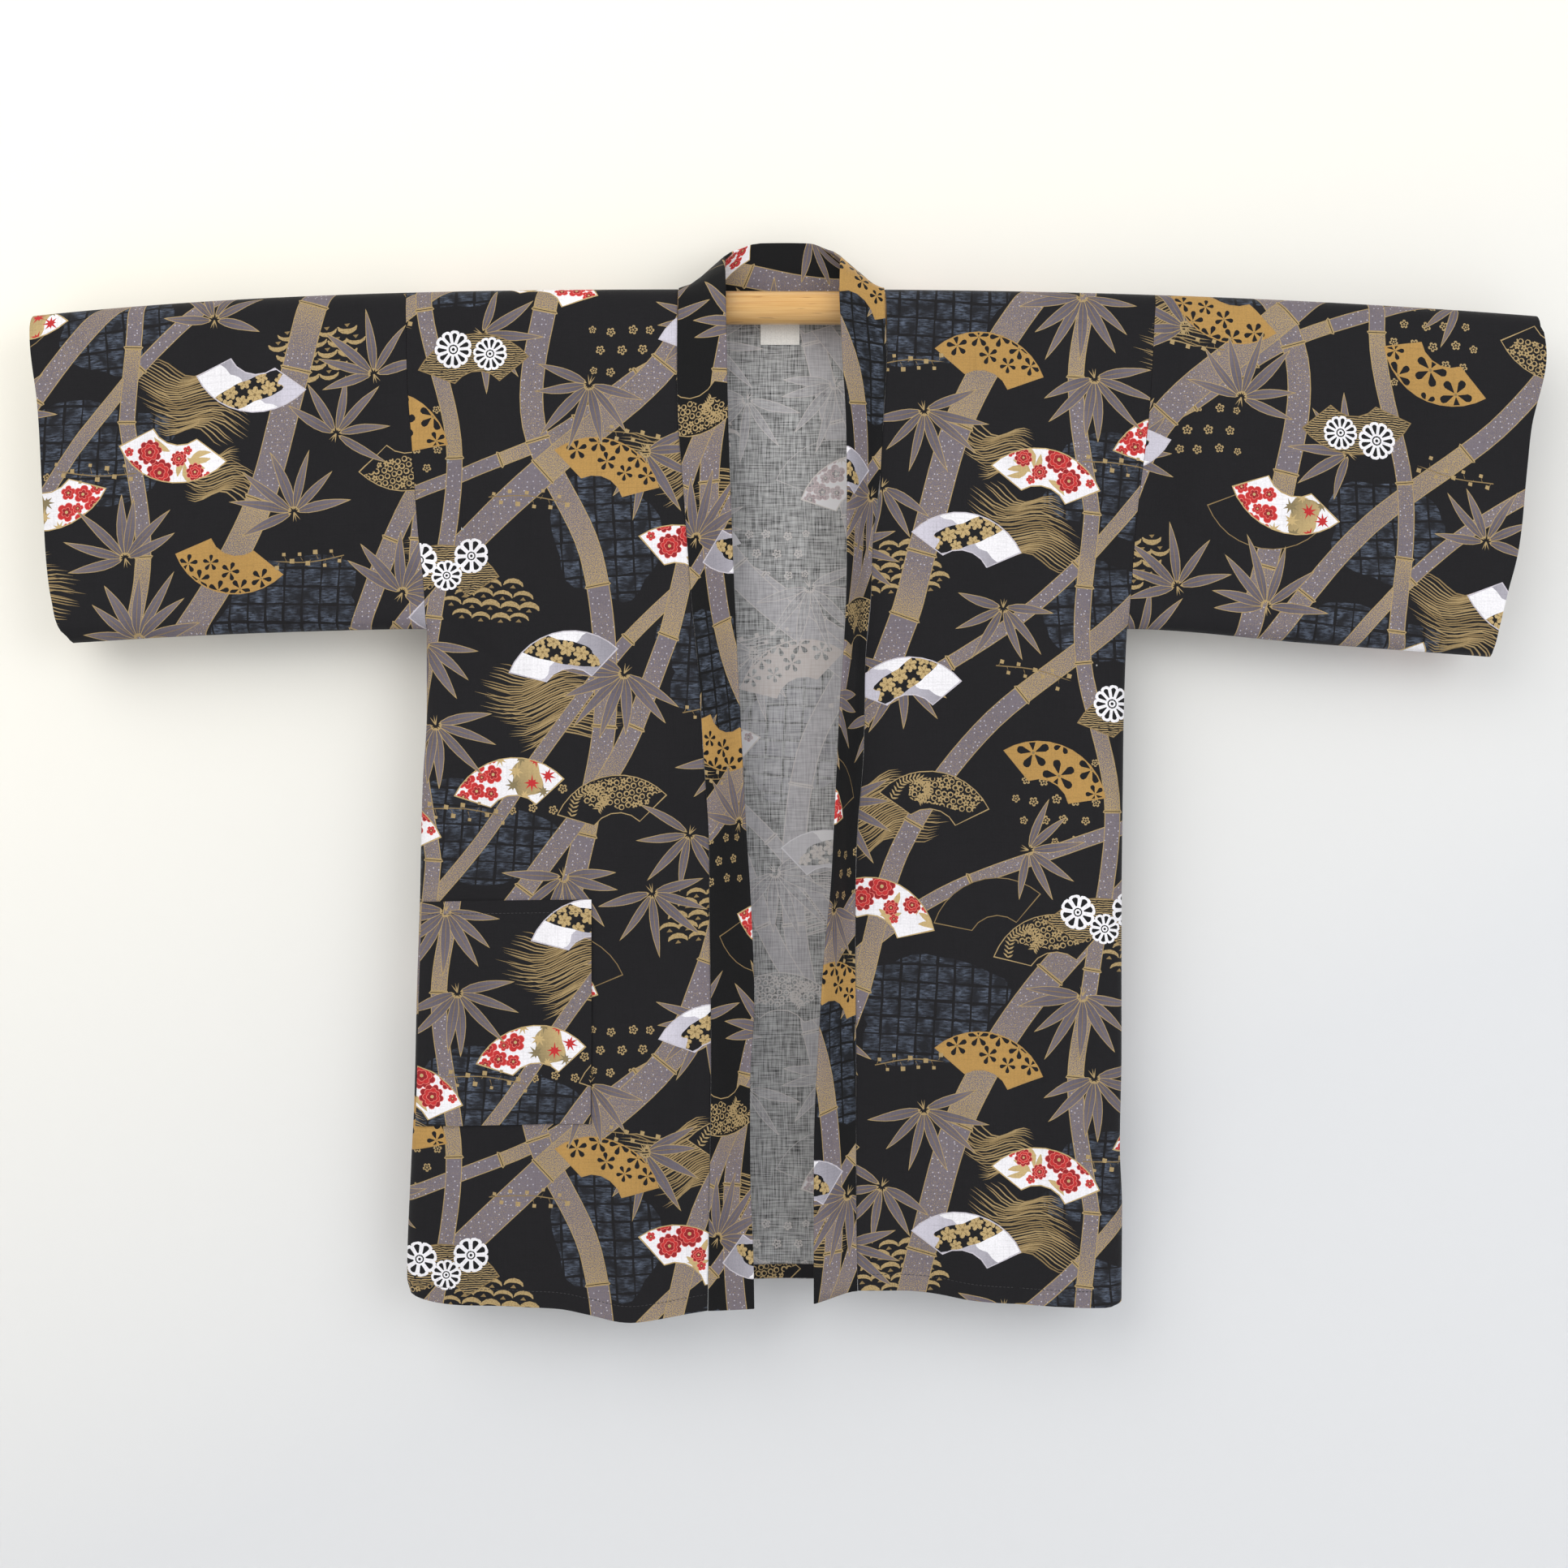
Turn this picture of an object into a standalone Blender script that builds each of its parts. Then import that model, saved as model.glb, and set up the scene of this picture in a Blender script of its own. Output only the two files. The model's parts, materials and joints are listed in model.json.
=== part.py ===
# Kimono jacket hung flat on a bamboo pole.
# Metres, +Z up. The origin is the middle of the pole at the neck, +X runs along the pole,
# the jacket's front faces -Y. "Right" and "left" are the wearer's, so the right front is at -X.

import math

import bmesh
import bpy
import numpy as np

MM = 0.001

# Cloth and seams
CLOTH = 1.0 * MM
BAND_CLOTH = 2.4 * MM
SEAM_GAP = 0.3 * MM
PATCH_STEP = CLOTH + SEAM_GAP

# Pole
POLE_RADIUS = 14.2 * MM
POLE_END_RADIUS = 12.9 * MM
POLE_HALF_LENGTH = 612 * MM
POLE_NODE_RISE = 0.15 * MM
POLE_NODE_HALF = 5 * MM
POLE_NODES = (-420 * MM, -130 * MM, 160 * MM, 440 * MM)
POLE_HOLE_RADIUS = 8.5 * MM
POLE_HOLE_DEPTH = 24 * MM
POLE_SIDES = 24
POLE_STEPS = 16

# The cloth's fold over the pole, to the middle of its wall
RIDGE_RADIUS = 15.2 * MM
SLEEVE_REACH = 647 * MM
SLEEVE_DROOP = 23 * MM
DROOP_POWER_RIGHT = 3.0
DROOP_POWER_LEFT = 2.2

# Half depths of the hung jacket, at the pole, at the underarm and at the hem
FRONT_DEPTHS = (15.2 * MM, 13.6 * MM, 13.0 * MM)
BACK_DEPTHS = (15.2 * MM, 12.5 * MM, 11.0 * MM)
SLEEVE_LOW_DEPTH = 11.5 * MM
NECK_BACK_DEPTH = 19.0 * MM
EDGE_ROUND = 14 * MM
ARM_BLEND = 60 * MM
UNDERARM_Z = -277 * MM
HEM_Z = -860 * MM
FOLD_FADE = 60 * MM

# Outlines in millimetres: rows of (z, x), from the top down
RIGHT_CUFF = ((-9, -646.5), (-26, -646.5), (-88, -640), (-168, -636), (-230, -632.5), (-255, -629), (-282, -621.5),
              (-290, -614))
LEFT_CUFF = ((-9, 648.5), (-43, 653.5), (-106, 641), (-140, 637.5), (-214, 630), (-252, 620.5), (-300, 609.5))
RIGHT_SIDE = ((12, -324.3), (-68, -323), (-118, -319.5), (-192, -314.5), (-242, -309.5), (-277, -308), (-350, -308),
              (-411, -311.5), (-513, -314), (-588, -316.5), (-690, -319), (-739, -321.5), (-836, -325), (-852, -321))
LEFT_SIDE = ((12, 318.8), (-94, 313.2), (-178, 303.5), (-258, 297.2), (-282, 295.5), (-350, 293), (-411, 292.2),
             (-533, 291), (-643, 291), (-723, 289.6), (-777, 291.5), (-856, 291))
RIGHT_SEAM = ((15, -91.2), (-94, -91), (-150, -87), (-198, -83.5), (-263, -78.6), (-319, -73.1), (-382, -69.6),
              (-448, -64.8), (-513, -64), (-640, -62.6), (-764, -64), (-863, -65.4))
RIGHT_FREE = ((15, -50.8), (-101, -48.7), (-179, -46), (-248, -43.2), (-310, -40.4), (-363, -37.6), (-445, -33.4),
              (-527, -28.5), (-602, -26.4), (-644, -29.2), (-738, -29.9), (-790, -27.8), (-858, -26.4))
LEFT_SEAM = ((15, 87), (-32, 88.4), (-80, 86.5), (-129, 83), (-166, 81.5), (-199, 76.5), (-258, 74.2), (-302, 70),
             (-384, 68.4), (-455, 62.8), (-527, 61.2), (-665, 61.9), (-769, 61.9), (-846, 63.3))
LEFT_FREE = ((15, 47.5), (-50, 50.8), (-101, 53.6), (-199, 54.3), (-258, 53.6), (-310, 50.8), (-349, 48), (-425, 44.5),
             (-521, 39), (-558, 34.8), (-602, 32), (-665, 28.5), (-727, 26.4), (-853, 26.4))

# Lower edges in millimetres: rows of (x, z)
SLEEVE_BOTTOM = ((-614, -289), (-523, -283.5), (-424, -279.5), (-308, -277), (296, -277), (450, -289), (609, -301))
FRONT_HEM = ((-325, -849), (-299, -856), (-232, -859.6), (-192, -862.5), (-170, -867), (-132, -872), (-108, -870),
             (-83, -866), (-65, -863), (-26, -857), (26, -853), (63, -846), (120, -847.7), (165, -854), (232, -859.6),
             (276, -861), (291, -857))
BACK_HEM = ((-325, -847), (-200, -850), (-60, -843), (0, -841.5), (60, -842), (120, -843), (230, -850), (291, -849))

# Soft folds in millimetres: rows of (x at the top, x at the bottom, top z, bottom z, half width, outward depth)
OPEN_END = -1200
FRONT_FOLDS = (
    (-296, -262, -10, -375, 20, -5.5),
    (-258, -226, -10, -430, 24, 2.5),
    (-182, -170, -40, -360, 30, -2.5),
    (-112, -84, -260, -860, 10, 2.0),
    (-205, -176, -540, OPEN_END, 26, -4.0),
    (-140, -132, -620, OPEN_END, 26, 7.0),
    (-286, -292, -600, OPEN_END, 20, 2.5),
    (304, 290, 10, -320, 15, -5.0),
    (268, 262, -90, -500, 20, 2.5),
    (192, 205, -230, -720, 36, -3.0),
    (118, 110, -570, OPEN_END, 24, -3.5),
    (188, 165, -620, OPEN_END, 26, 4.5),
    (262, 268, -540, OPEN_END, 18, 3.0),
)
BACK_FOLDS = (
    (-252, -238, -20, -430, 26, -3.0),
    (-150, -138, -460, OPEN_END, 40, 4.0),
    (-286, -290, -540, OPEN_END, 22, 3.0),
    (62, 74, -80, -520, 40, -2.0),
    (122, 134, -430, OPEN_END, 30, -3.0),
    (236, 226, -40, -520, 26, 3.0),
    (4, -6, -330, OPEN_END, 60, 3.0),
)
SLEEVE_FOLDS = (
    (-345, -338, 10, -300, 14, -3.0),
    (-424, -436, -30, -290, 30, 2.0),
    (-566, -578, -40, -290, 28, -2.5),
    (334, 328, 10, -290, 14, -4.0),
    (436, 456, -60, -300, 34, 2.5),
    (548, 520, -40, -230, 30, -3.0),
    (606, 600, -80, -310, 18, 1.5),
)

# Collar band round the neck, right half, in millimetres:
# rows of (seam x, seam y, seam z, free edge x, free edge y, free edge z), from the front to the middle of the back
NECK_STATIONS = (
    (-91.2, -15.2, 0.0, -50.6, -29.0, 6.0),
    (-91.2, -14.0, 5.8, -50.9, -26.0, 15.5),
    (-91.2, -10.7, 10.8, -51.2, -22.0, 25.0),
    (-91.2, -5.8, 14.0, -51.4, -16.5, 31.5),
    (-91.2, 0.0, 15.2, -51.5, -10.0, 36.5),
    (-90.2, 4.7, 14.5, -52.0, -4.5, 40.0),
    (-87.5, 9.2, 12.9, -52.0, 1.0, 43.0),
    (-76.0, 14.5, 13.5, -46.0, 10.0, 49.5),
    (-58.0, 17.5, 14.0, -37.0, 16.5, 54.5),
    (-36.0, 18.7, 14.3, -26.5, 20.0, 59.0),
    (-14.0, 19.0, 14.5, -11.0, 21.0, 60.0),
)
NECK_ROWS_BEHIND = 6
NECK_CORNER_ROW = 7
NECK_LEFT_SHARE = 0.953
NECK_HALF_WIDTH = 91.2 * MM
NECK_FLAT_HALF = 40 * MM
NECK_FREE_Z = 6 * MM
BAND_WIDTH = 45 * MM
BAND_STAND = 0.62
BAND_HINGE = 9 * MM
BAND_LEAD = 14 * MM
NECK_GAP = 0.7 * MM
BAND_PROUD = (BAND_CLOTH - CLOTH) / 2

# Pocket on the right front, label inside the back neck, and the back's turned-up hem
POCKET_TOP = -512.5 * MM
POCKET_BOTTOM = -705 * MM
POCKET_INNER_X = -165 * MM
POCKET_EASE = 0.2 * MM
LABEL_LEFT_X = -20.5 * MM
LABEL_RIGHT_X = 13.5 * MM
LABEL_TOP = 9 * MM
LABEL_BOTTOM = -28.5 * MM
HEM_TURN = 12 * MM
HEM_LIFT = 0.8 * MM
HEM_SIDE_INSET = 18 * MM
POCKET_SIDE_INSET = 4 * MM


# Reading the tables
def along(rows, at):
    """The value at a place in a table of (place, value) rows in millimetres, joined by a smooth curve."""
    places = np.array([row[0] for row in rows], float) * MM
    values = np.array([row[1] for row in rows], float) * MM
    if places[0] > places[-1]:
        places, values = places[::-1], values[::-1]
    steps = np.diff(places)
    slopes = np.diff(values) / steps
    tangents = np.concatenate(([slopes[0]], (slopes[1:] + slopes[:-1]) / 2, [slopes[-1]]))
    turning = np.concatenate(([False], slopes[1:] * slopes[:-1] <= 0, [False]))
    tangents[turning] = 0
    at = np.clip(at, places[0], places[-1])
    index = np.clip(np.searchsorted(places, at) - 1, 0, len(steps) - 1)
    step = steps[index]
    t = (at - places[index]) / step
    return ((2 * t**3 - 3 * t**2 + 1) * values[index] + (t**3 - 2 * t**2 + t) * step * tangents[index]
            + (3 * t**2 - 2 * t**3) * values[index + 1] + (t**3 - t**2) * step * tangents[index + 1])


def smooth_step(t):
    t = np.clip(t, 0, 1)
    return t * t * (3 - 2 * t)


# The hung form
def pole_z(x):
    """Height of the pole's axis, which bows down towards both ends."""
    power = np.where(np.asarray(x) < 0, DROOP_POWER_RIGHT, DROOP_POWER_LEFT)
    return -SLEEVE_DROOP * (np.abs(x) / SLEEVE_REACH) ** power


def side_x(x, z):
    """The armhole seam and side seam on the same side as x."""
    return np.where(np.asarray(x) < 0, along(RIGHT_SIDE, z), along(LEFT_SIDE, z))


def fold_depth(rows, x, z):
    """How far the soft folds push the cloth outward at a point."""
    out = np.zeros(np.broadcast(x, z).shape)
    for top_x, bottom_x, top_z, bottom_z, half_width, depth in rows:
        low_z = max(bottom_z * MM, HEM_Z)
        centre = (top_x + (bottom_x - top_x) * np.clip((top_z * MM - z) / (top_z * MM - low_z), 0, 1)) * MM
        fade = smooth_step((top_z * MM - z) / FOLD_FADE) * smooth_step((z - bottom_z * MM) / FOLD_FADE)
        out = out + depth * MM * fade * np.exp(-((x - centre) / (half_width * MM)) ** 2)
    return out


def layer_depth(x, z, front):
    """Distance of the cloth from the jacket's middle plane, below the pole."""
    x, z = np.broadcast_arrays(np.asarray(x, float), np.asarray(z, float))
    top, middle, low = FRONT_DEPTHS if front else BACK_DEPTHS
    drop = pole_z(x) - z
    upper = top + (middle - top) * smooth_step(drop / -UNDERARM_Z)
    body = upper + (low - middle) * smooth_step((drop + UNDERARM_Z) / (UNDERARM_Z - HEM_Z))
    sleeve = top + (SLEEVE_LOW_DEPTH - top) * smooth_step(drop / -UNDERARM_Z)
    inward = np.abs(side_x(x, z)) - np.abs(x)
    in_body = inward >= 0
    body = body + fold_depth(FRONT_FOLDS if front else BACK_FOLDS, x, z) * smooth_step(drop / FOLD_FADE)
    share = smooth_step(inward / ARM_BLEND)
    sleeve = sleeve + fold_depth(SLEEVE_FOLDS, x, z) * smooth_step(drop / FOLD_FADE)
    depth = np.where(in_body, share * body + (1 - share) * sleeve, sleeve)
    floor = np.where(in_body, np.minimum(z, UNDERARM_Z), along(SLEEVE_BOTTOM, x))
    edge = np.hypot(np.where(in_body, inward, 0), np.maximum(z - floor, 0))
    rounding = np.sqrt(1 - (1 - np.clip(edge / EDGE_ROUND, 0, 1)) ** 2)
    if not front:
        depth = depth + (NECK_BACK_DEPTH - top) * neck_share(x) * (1 - smooth_step(drop / (4 * FOLD_FADE)))
    return np.maximum(depth * rounding, SEAM_GAP / 2)


def neck_share(x):
    """1 behind the neck, 0 over the shoulders."""
    return smooth_step((NECK_HALF_WIDTH - np.abs(x)) / (NECK_HALF_WIDTH - NECK_FLAT_HALF))


def layer_point(x, z, front):
    """A point on the front or back layer, below the pole."""
    side = -1 if front else 1
    return (float(x), side * float(layer_depth(x, z, front)), float(z))


# Building
def remove_everything():
    for old in list(bpy.data.objects):
        bpy.data.objects.remove(old, do_unlink=True)


def material(name, colour, roughness, metallic=0.0):
    made = bpy.data.materials.new(name)
    made.use_nodes = True
    shader = made.node_tree.nodes["Principled BSDF"]
    shader.inputs["Base Color"].default_value = (*colour, 1)
    shader.inputs["Roughness"].default_value = roughness
    shader.inputs["Metallic"].default_value = metallic
    made.diffuse_color = (*colour, 1)
    return made


def add_object(name, mesh, finish):
    mesh.materials.append(finish)
    piece = bpy.data.objects.new(name, mesh)
    parts.objects.link(piece)
    return piece


def loft(name, rows, finish, wall, closed=False):
    """A sheet of cloth through rows of points, thickened to a wall."""
    shape = bmesh.new()
    grid = [[shape.verts.new(point) for point in row] for row in rows]
    for upper, lower in zip(grid, grid[1:]):
        count = len(upper) if closed else len(upper) - 1
        for column in range(count):
            beside = (column + 1) % len(upper)
            shape.faces.new((upper[column], lower[column], lower[beside], upper[beside]))
    bmesh.ops.recalc_face_normals(shape, faces=shape.faces)
    mesh = bpy.data.meshes.new(name)
    shape.to_mesh(mesh)
    shape.free()
    mesh.shade_smooth()
    piece = add_object(name, mesh, finish)
    thick = piece.modifiers.new("cloth wall", "SOLIDIFY")
    thick.thickness = wall
    thick.offset = 0
    thick.use_even_offset = True
    return piece


def eased(count):
    """Fractions from 0 to 1, close together near 0, as on a quarter circle."""
    return [1 - math.cos(math.pi / 2 * step / count) for step in range(count + 1)]


# Rows that the body and the sleeves share at the armhole
ARC_ROWS = 4
FALL_ROWS = 5
ROUND_ROWS = 3
BODY_ROWS = 11
FRONT_WIDTH = 235 * MM
FRONT_COLUMNS = 9
SHOULDER_COLUMNS = 5


def drop_rows():
    """Shares of the way down from the pole's axis to the underarm, closer together near the underarm."""
    start = 1 - EDGE_ROUND / -UNDERARM_Z
    straight = [start * step / FALL_ROWS for step in range(1, FALL_ROWS + 1)]
    rounded = [1 - (1 - start) * share for share in reversed(eased(ROUND_ROWS)[:-1])]
    return straight + rounded


def sleeve_section(share, right):
    """A closed ring of the sleeve, share of the way from the armhole to the cuff."""
    cuff = RIGHT_CUFF if right else LEFT_CUFF
    arm = RIGHT_SIDE if right else LEFT_SIDE
    sign = -1 if right else 1

    def across(z):
        inner = along(arm, z) + sign * SEAM_GAP / 2
        return inner + (along(cuff, z) - inner) * share

    halves = []
    for front in (True, False):
        side = -1 if front else 1
        half = []
        for step in range(ARC_ROWS):
            angle = math.pi / 2 * step / ARC_ROWS
            x = across(RIDGE_RADIUS * math.cos(angle))
            half.append((x, side * RIDGE_RADIUS * math.sin(angle), pole_z(x) + RIDGE_RADIUS * math.cos(angle)))
        x = across(0)
        half.append((x, side * RIDGE_RADIUS, pole_z(x)))
        for down in drop_rows():
            x = across(UNDERARM_Z * down)
            z = pole_z(x) + (along(SLEEVE_BOTTOM, x) - pole_z(x)) * down
            x = across(z)
            depth = layer_depth(x, z, front) if down < 1 else 0
            half.append((x, side * depth, z))
        halves.append(half)
    front_half, back_half = halves
    return front_half + back_half[-2:0:-1]


SLEEVE_SHARES = (0, 0.05, 0.14, 0.28, 0.42, 0.57, 0.72, 0.86, 1)


def sleeve(name, right, finish):
    sections = [sleeve_section(share, right) for share in SLEEVE_SHARES]
    return loft(name, sections, finish, CLOTH, closed=True)


def body_row(kind, share, front, edges, columns):
    """One row of a body panel between two edges, each a function from z to x."""
    row = []
    outer, inner = edges
    for column in columns:
        if kind == "arc":
            angle = math.pi / 2 * share
            level = RIDGE_RADIUS * math.cos(angle)
            x = outer(level) + (inner(level) - outer(level)) * column
            side = -1 if front else 1
            y, z = arc_point(x, angle, front)
            row.append((x, side * y, pole_z(x) + z))
            continue
        level = UNDERARM_Z * share if kind == "fall" else UNDERARM_Z + (HEM_Z - UNDERARM_Z) * share
        x = outer(level) + (inner(level) - outer(level)) * column
        if kind == "fall":
            floor = along(SLEEVE_BOTTOM, outer(UNDERARM_Z))
            z = pole_z(x) + (floor - pole_z(x)) * share
        else:
            hem = along(FRONT_HEM if front else BACK_HEM, x)
            z = UNDERARM_Z + (hem - UNDERARM_Z) * share
        x = outer(z) + (inner(z) - outer(z)) * column
        row.append(layer_point(x, z, front))
    return row


def arc_point(x, angle, front):
    """Depth and height over the pole: a quarter circle, or the way up to the collar seam behind the neck."""
    start_y, start_z = SEAM_GAP / 2, RIDGE_RADIUS
    end_y = RIDGE_RADIUS
    if not front:
        start_y, start_z = neck_seam(x)
        end_y = layer_depth(x, pole_z(x), False)
    return start_y + (end_y - start_y) * math.sin(angle), start_z * math.cos(angle)


def neck_seam(x):
    """Depth and height of the back's top edge: the ridge at the shoulders, the collar seam at the neck."""
    share = 1.0 if x < 0 else NECK_LEFT_SHARE
    rows = [row for row in NECK_STATIONS if row[1] >= 0]
    places = [row[0] * share * MM for row in rows] + [0.0]
    depths = [max(row[1] * MM, SEAM_GAP / 2) for row in rows] + [rows[-1][1] * MM]
    heights = [row[2] * MM for row in rows] + [rows[-1][2] * MM]
    return float(np.interp(-abs(x), places, depths)), float(np.interp(-abs(x), places, heights))


def panel_rows(front, edges, columns):
    rows = [body_row("arc", step / ARC_ROWS, front, edges, columns) for step in range(ARC_ROWS + 1)]
    rows += [body_row("fall", share, front, edges, columns) for share in drop_rows()]
    rows += [body_row("hang", (step + 1) / BODY_ROWS, front, edges, columns) for step in range(BODY_ROWS)]
    return rows


def edge_reader(rows, shift):
    return lambda z: float(along(rows, z)) + shift


def front_columns():
    """Shares across a front from its side to the collar seam, close together at the rounded side."""
    rounded = [EDGE_ROUND / FRONT_WIDTH * share for share in eased(ROUND_ROWS)]
    rest = 1 - rounded[-1]
    return rounded + [rounded[-1] + rest * (step + 1) / FRONT_COLUMNS for step in range(FRONT_COLUMNS)]


def back_columns(right_x, left_x):
    """Shares across the back from its right side to its left side, with a column at each neck station."""
    width = left_x - right_x
    rounded = [EDGE_ROUND * share for share in eased(ROUND_ROWS)]
    halves = []
    for side_width, scale in ((-right_x, 1.0), (left_x, NECK_LEFT_SHARE)):
        shoulder = side_width - NECK_HALF_WIDTH * scale
        rest = shoulder - rounded[-1]
        inset = rounded + [rounded[-1] + rest * (step + 1) / SHOULDER_COLUMNS for step in range(SHOULDER_COLUMNS)]
        inset += [side_width + row[0] * MM * scale for row in NECK_STATIONS[-NECK_ROWS_BEHIND:]]
        halves.append([place / width for place in inset])
    right_half, left_half = halves
    return right_half + [1 - share for share in reversed(left_half)]


def front_rows(right):
    side = -1 if right else 1
    outer = edge_reader(RIGHT_SIDE if right else LEFT_SIDE, -side * SEAM_GAP / 2)
    inner = edge_reader(RIGHT_SEAM if right else LEFT_SEAM, side * SEAM_GAP / 2)
    return panel_rows(True, (outer, inner), front_columns())


def back_rows():
    outer = edge_reader(RIGHT_SIDE, SEAM_GAP / 2)
    inner = edge_reader(LEFT_SIDE, -SEAM_GAP / 2)
    return panel_rows(False, (outer, inner), back_columns(outer(RIDGE_RADIUS), inner(RIDGE_RADIUS)))


# Collar band
BAND_STEPS = (0, 0.09, 0.22, 0.42, 0.62, 0.82, 1)
BAND_LEVELS = 17


def band_section(seam, free, lead, gap):
    """Points across the band: it leaves the seam in the panel's direction and turns towards its free edge."""
    reach = free - seam
    reach_unit = reach / np.linalg.norm(reach)
    start = seam + lead * gap
    controls = (start, start + lead * BAND_HINGE, free - reach_unit * BAND_LEAD, free)
    points = []
    for t in BAND_STEPS:
        weights = ((1 - t) ** 3, 3 * t * (1 - t) ** 2, 3 * t * t * (1 - t), t**3)
        points.append(tuple(sum(weight * control for weight, control in zip(weights, controls))))
    return points


def front_band_section(z_share, right):
    """The band beside one front, z_share of the way from the shoulder down to the hem."""
    seam_rows, free_rows = (RIGHT_SEAM, RIGHT_FREE) if right else (LEFT_SEAM, LEFT_FREE)
    lead = np.array([1.0 if right else -1.0, 0, 0])
    seam_end = seam_rows[-1][0] * MM
    free_end = free_rows[-1][0] * MM
    seam_z = seam_end * z_share
    free_z = NECK_FREE_Z + (free_end - NECK_FREE_Z) * z_share
    seam_x = float(along(seam_rows, seam_z))
    free_x = float(along(free_rows, free_z))
    seam_y = -float(layer_depth(seam_x, min(seam_z, 0), True)) - BAND_PROUD
    shown = abs(free_x - seam_x)
    stand = BAND_STAND * math.sqrt(max(BAND_WIDTH**2 - shown**2, 0))
    seam = np.array([seam_x, seam_y, seam_z])
    free = np.array([free_x, seam_y - stand, free_z])
    return band_section(seam, free, lead, SEAM_GAP)


def neck_band_section(index, right):
    """The band round the neck at one station of the table."""
    rows = np.array(NECK_STATIONS) * MM
    mirrored = rows[-1].copy()
    mirrored[[0, 3]] *= -1
    rows = np.vstack([rows, mirrored])
    seam, free = rows[index, :3], rows[index, 3:]
    before, after = rows[max(index - 1, 0), :3], rows[index + 1, :3]
    tangent = after - before
    if index == 0:
        tangent = np.array([0.0, 0.0, 1.0])
    angle = math.atan2(seam[1], seam[2])
    outward = np.array([0, math.sin(angle), math.cos(angle)] if index < NECK_CORNER_ROW else [0, 1.0, 0])
    lead = np.cross(tangent, outward)
    lead /= np.linalg.norm(lead)
    if lead[0] + lead[2] < 0:
        lead = -lead
    side = 1.0 if right else -1.0
    scale = np.array([side * (1.0 if right else NECK_LEFT_SHARE), 1, 1])
    seam = seam + outward * BAND_PROUD
    return band_section(seam * scale, free * scale, lead * np.array([side, 1, 1]), NECK_GAP)


def collar_band(name, finish):
    levels = [step / BAND_LEVELS for step in range(BAND_LEVELS, 0, -1)]
    around = range(len(NECK_STATIONS))
    sections = [front_band_section(level, True) for level in levels]
    sections += [neck_band_section(index, True) for index in around]
    sections += [neck_band_section(index, False) for index in reversed(around)]
    sections += [front_band_section(level, False) for level in reversed(levels)]
    return loft(name, sections, finish, BAND_CLOTH)


# What lies on the panels
def row_at(grid, z, column):
    """The panel's row, with a fraction, that lies at a height."""
    heights = grid[:, column, 2]
    return float(np.interp(-z, -heights, np.arange(len(heights))))


def patch(name, panel, first_row, last_row, ends, out, finish):
    """A patch on a panel, from the panel's own points between two rows and two sides, moved out."""
    grid = np.array(panel)
    marks = [first_row, *range(math.floor(first_row) + 1, math.ceil(last_row)), last_row]
    rows = []
    for mark in marks:
        low = min(math.floor(mark), len(grid) - 2)
        rows.append(grid[low] + (grid[low + 1] - grid[low]) * (mark - low))
    right_ends, left_ends = [[row_end(row, x) for row in rows] for x in ends]
    inside = [column for column in range(grid.shape[1])
              if all(first[0] + PATCH_STEP < row[column, 0] < last[0] - PATCH_STEP
                     for row, first, last in zip(rows, right_ends, left_ends))]
    points = np.array([[first, *row[inside], last] for row, first, last in zip(rows, right_ends, left_ends)])
    down, along_row = np.gradient(points, axis=0), np.gradient(points, axis=1)
    normal = np.cross(down, along_row)
    normal /= np.linalg.norm(normal, axis=2, keepdims=True)
    normal *= np.sign(normal[:, :, 1:2]) * np.sign(np.median(points[:, :, 1]))
    return loft(name, [[tuple(point) for point in row] for row in points + out * normal], finish, CLOTH)


def row_end(row, x):
    """The point of a panel's row at a given x, kept inside the panel's rounded side."""
    x = max(x, row[0, 0] + POCKET_SIDE_INSET)
    return np.array([np.interp(x, row[:, 0], row[:, axis]) for axis in range(3)])


def pocket(name, panel, finish):
    grid = np.array(panel)
    middle = len(grid[0]) // 2
    rows = (row_at(grid, POCKET_TOP, middle), row_at(grid, POCKET_BOTTOM, middle))
    ends = (float(along(RIGHT_SIDE, POCKET_TOP)), POCKET_INNER_X)
    return patch(name, panel, *rows, ends, PATCH_STEP + POCKET_EASE, finish)


def neck_label(name, panel, finish):
    grid = np.array(panel)
    middle = len(grid[0]) // 2
    rows = (row_at(grid, LABEL_TOP, middle), row_at(grid, LABEL_BOTTOM, middle))
    return patch(name, panel, *rows, (LABEL_LEFT_X, LABEL_RIGHT_X), -PATCH_STEP, finish)


def back_hem(name, panel, finish):
    """The back's hem allowance, turned up inside."""
    last = len(panel) - 1
    row_height = (UNDERARM_Z - HEM_Z) / BODY_ROWS
    rows = (last - (HEM_LIFT + HEM_TURN) / row_height, last - HEM_LIFT / row_height)
    ends = (float(along(RIGHT_SIDE, HEM_Z)) + HEM_SIDE_INSET, float(along(LEFT_SIDE, HEM_Z)) - HEM_SIDE_INSET)
    return patch(name, panel, *rows, ends, -PATCH_STEP, finish)


# Pole
def pole_radius(x):
    """The culm thins towards its ends and rises a little at each node."""
    radius = POLE_RADIUS + (POLE_END_RADIUS - POLE_RADIUS) * (abs(x) / POLE_HALF_LENGTH) ** 2
    for node in POLE_NODES:
        radius += POLE_NODE_RISE * math.exp(-(((x - node) / POLE_NODE_HALF) ** 2))
    return radius


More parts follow.
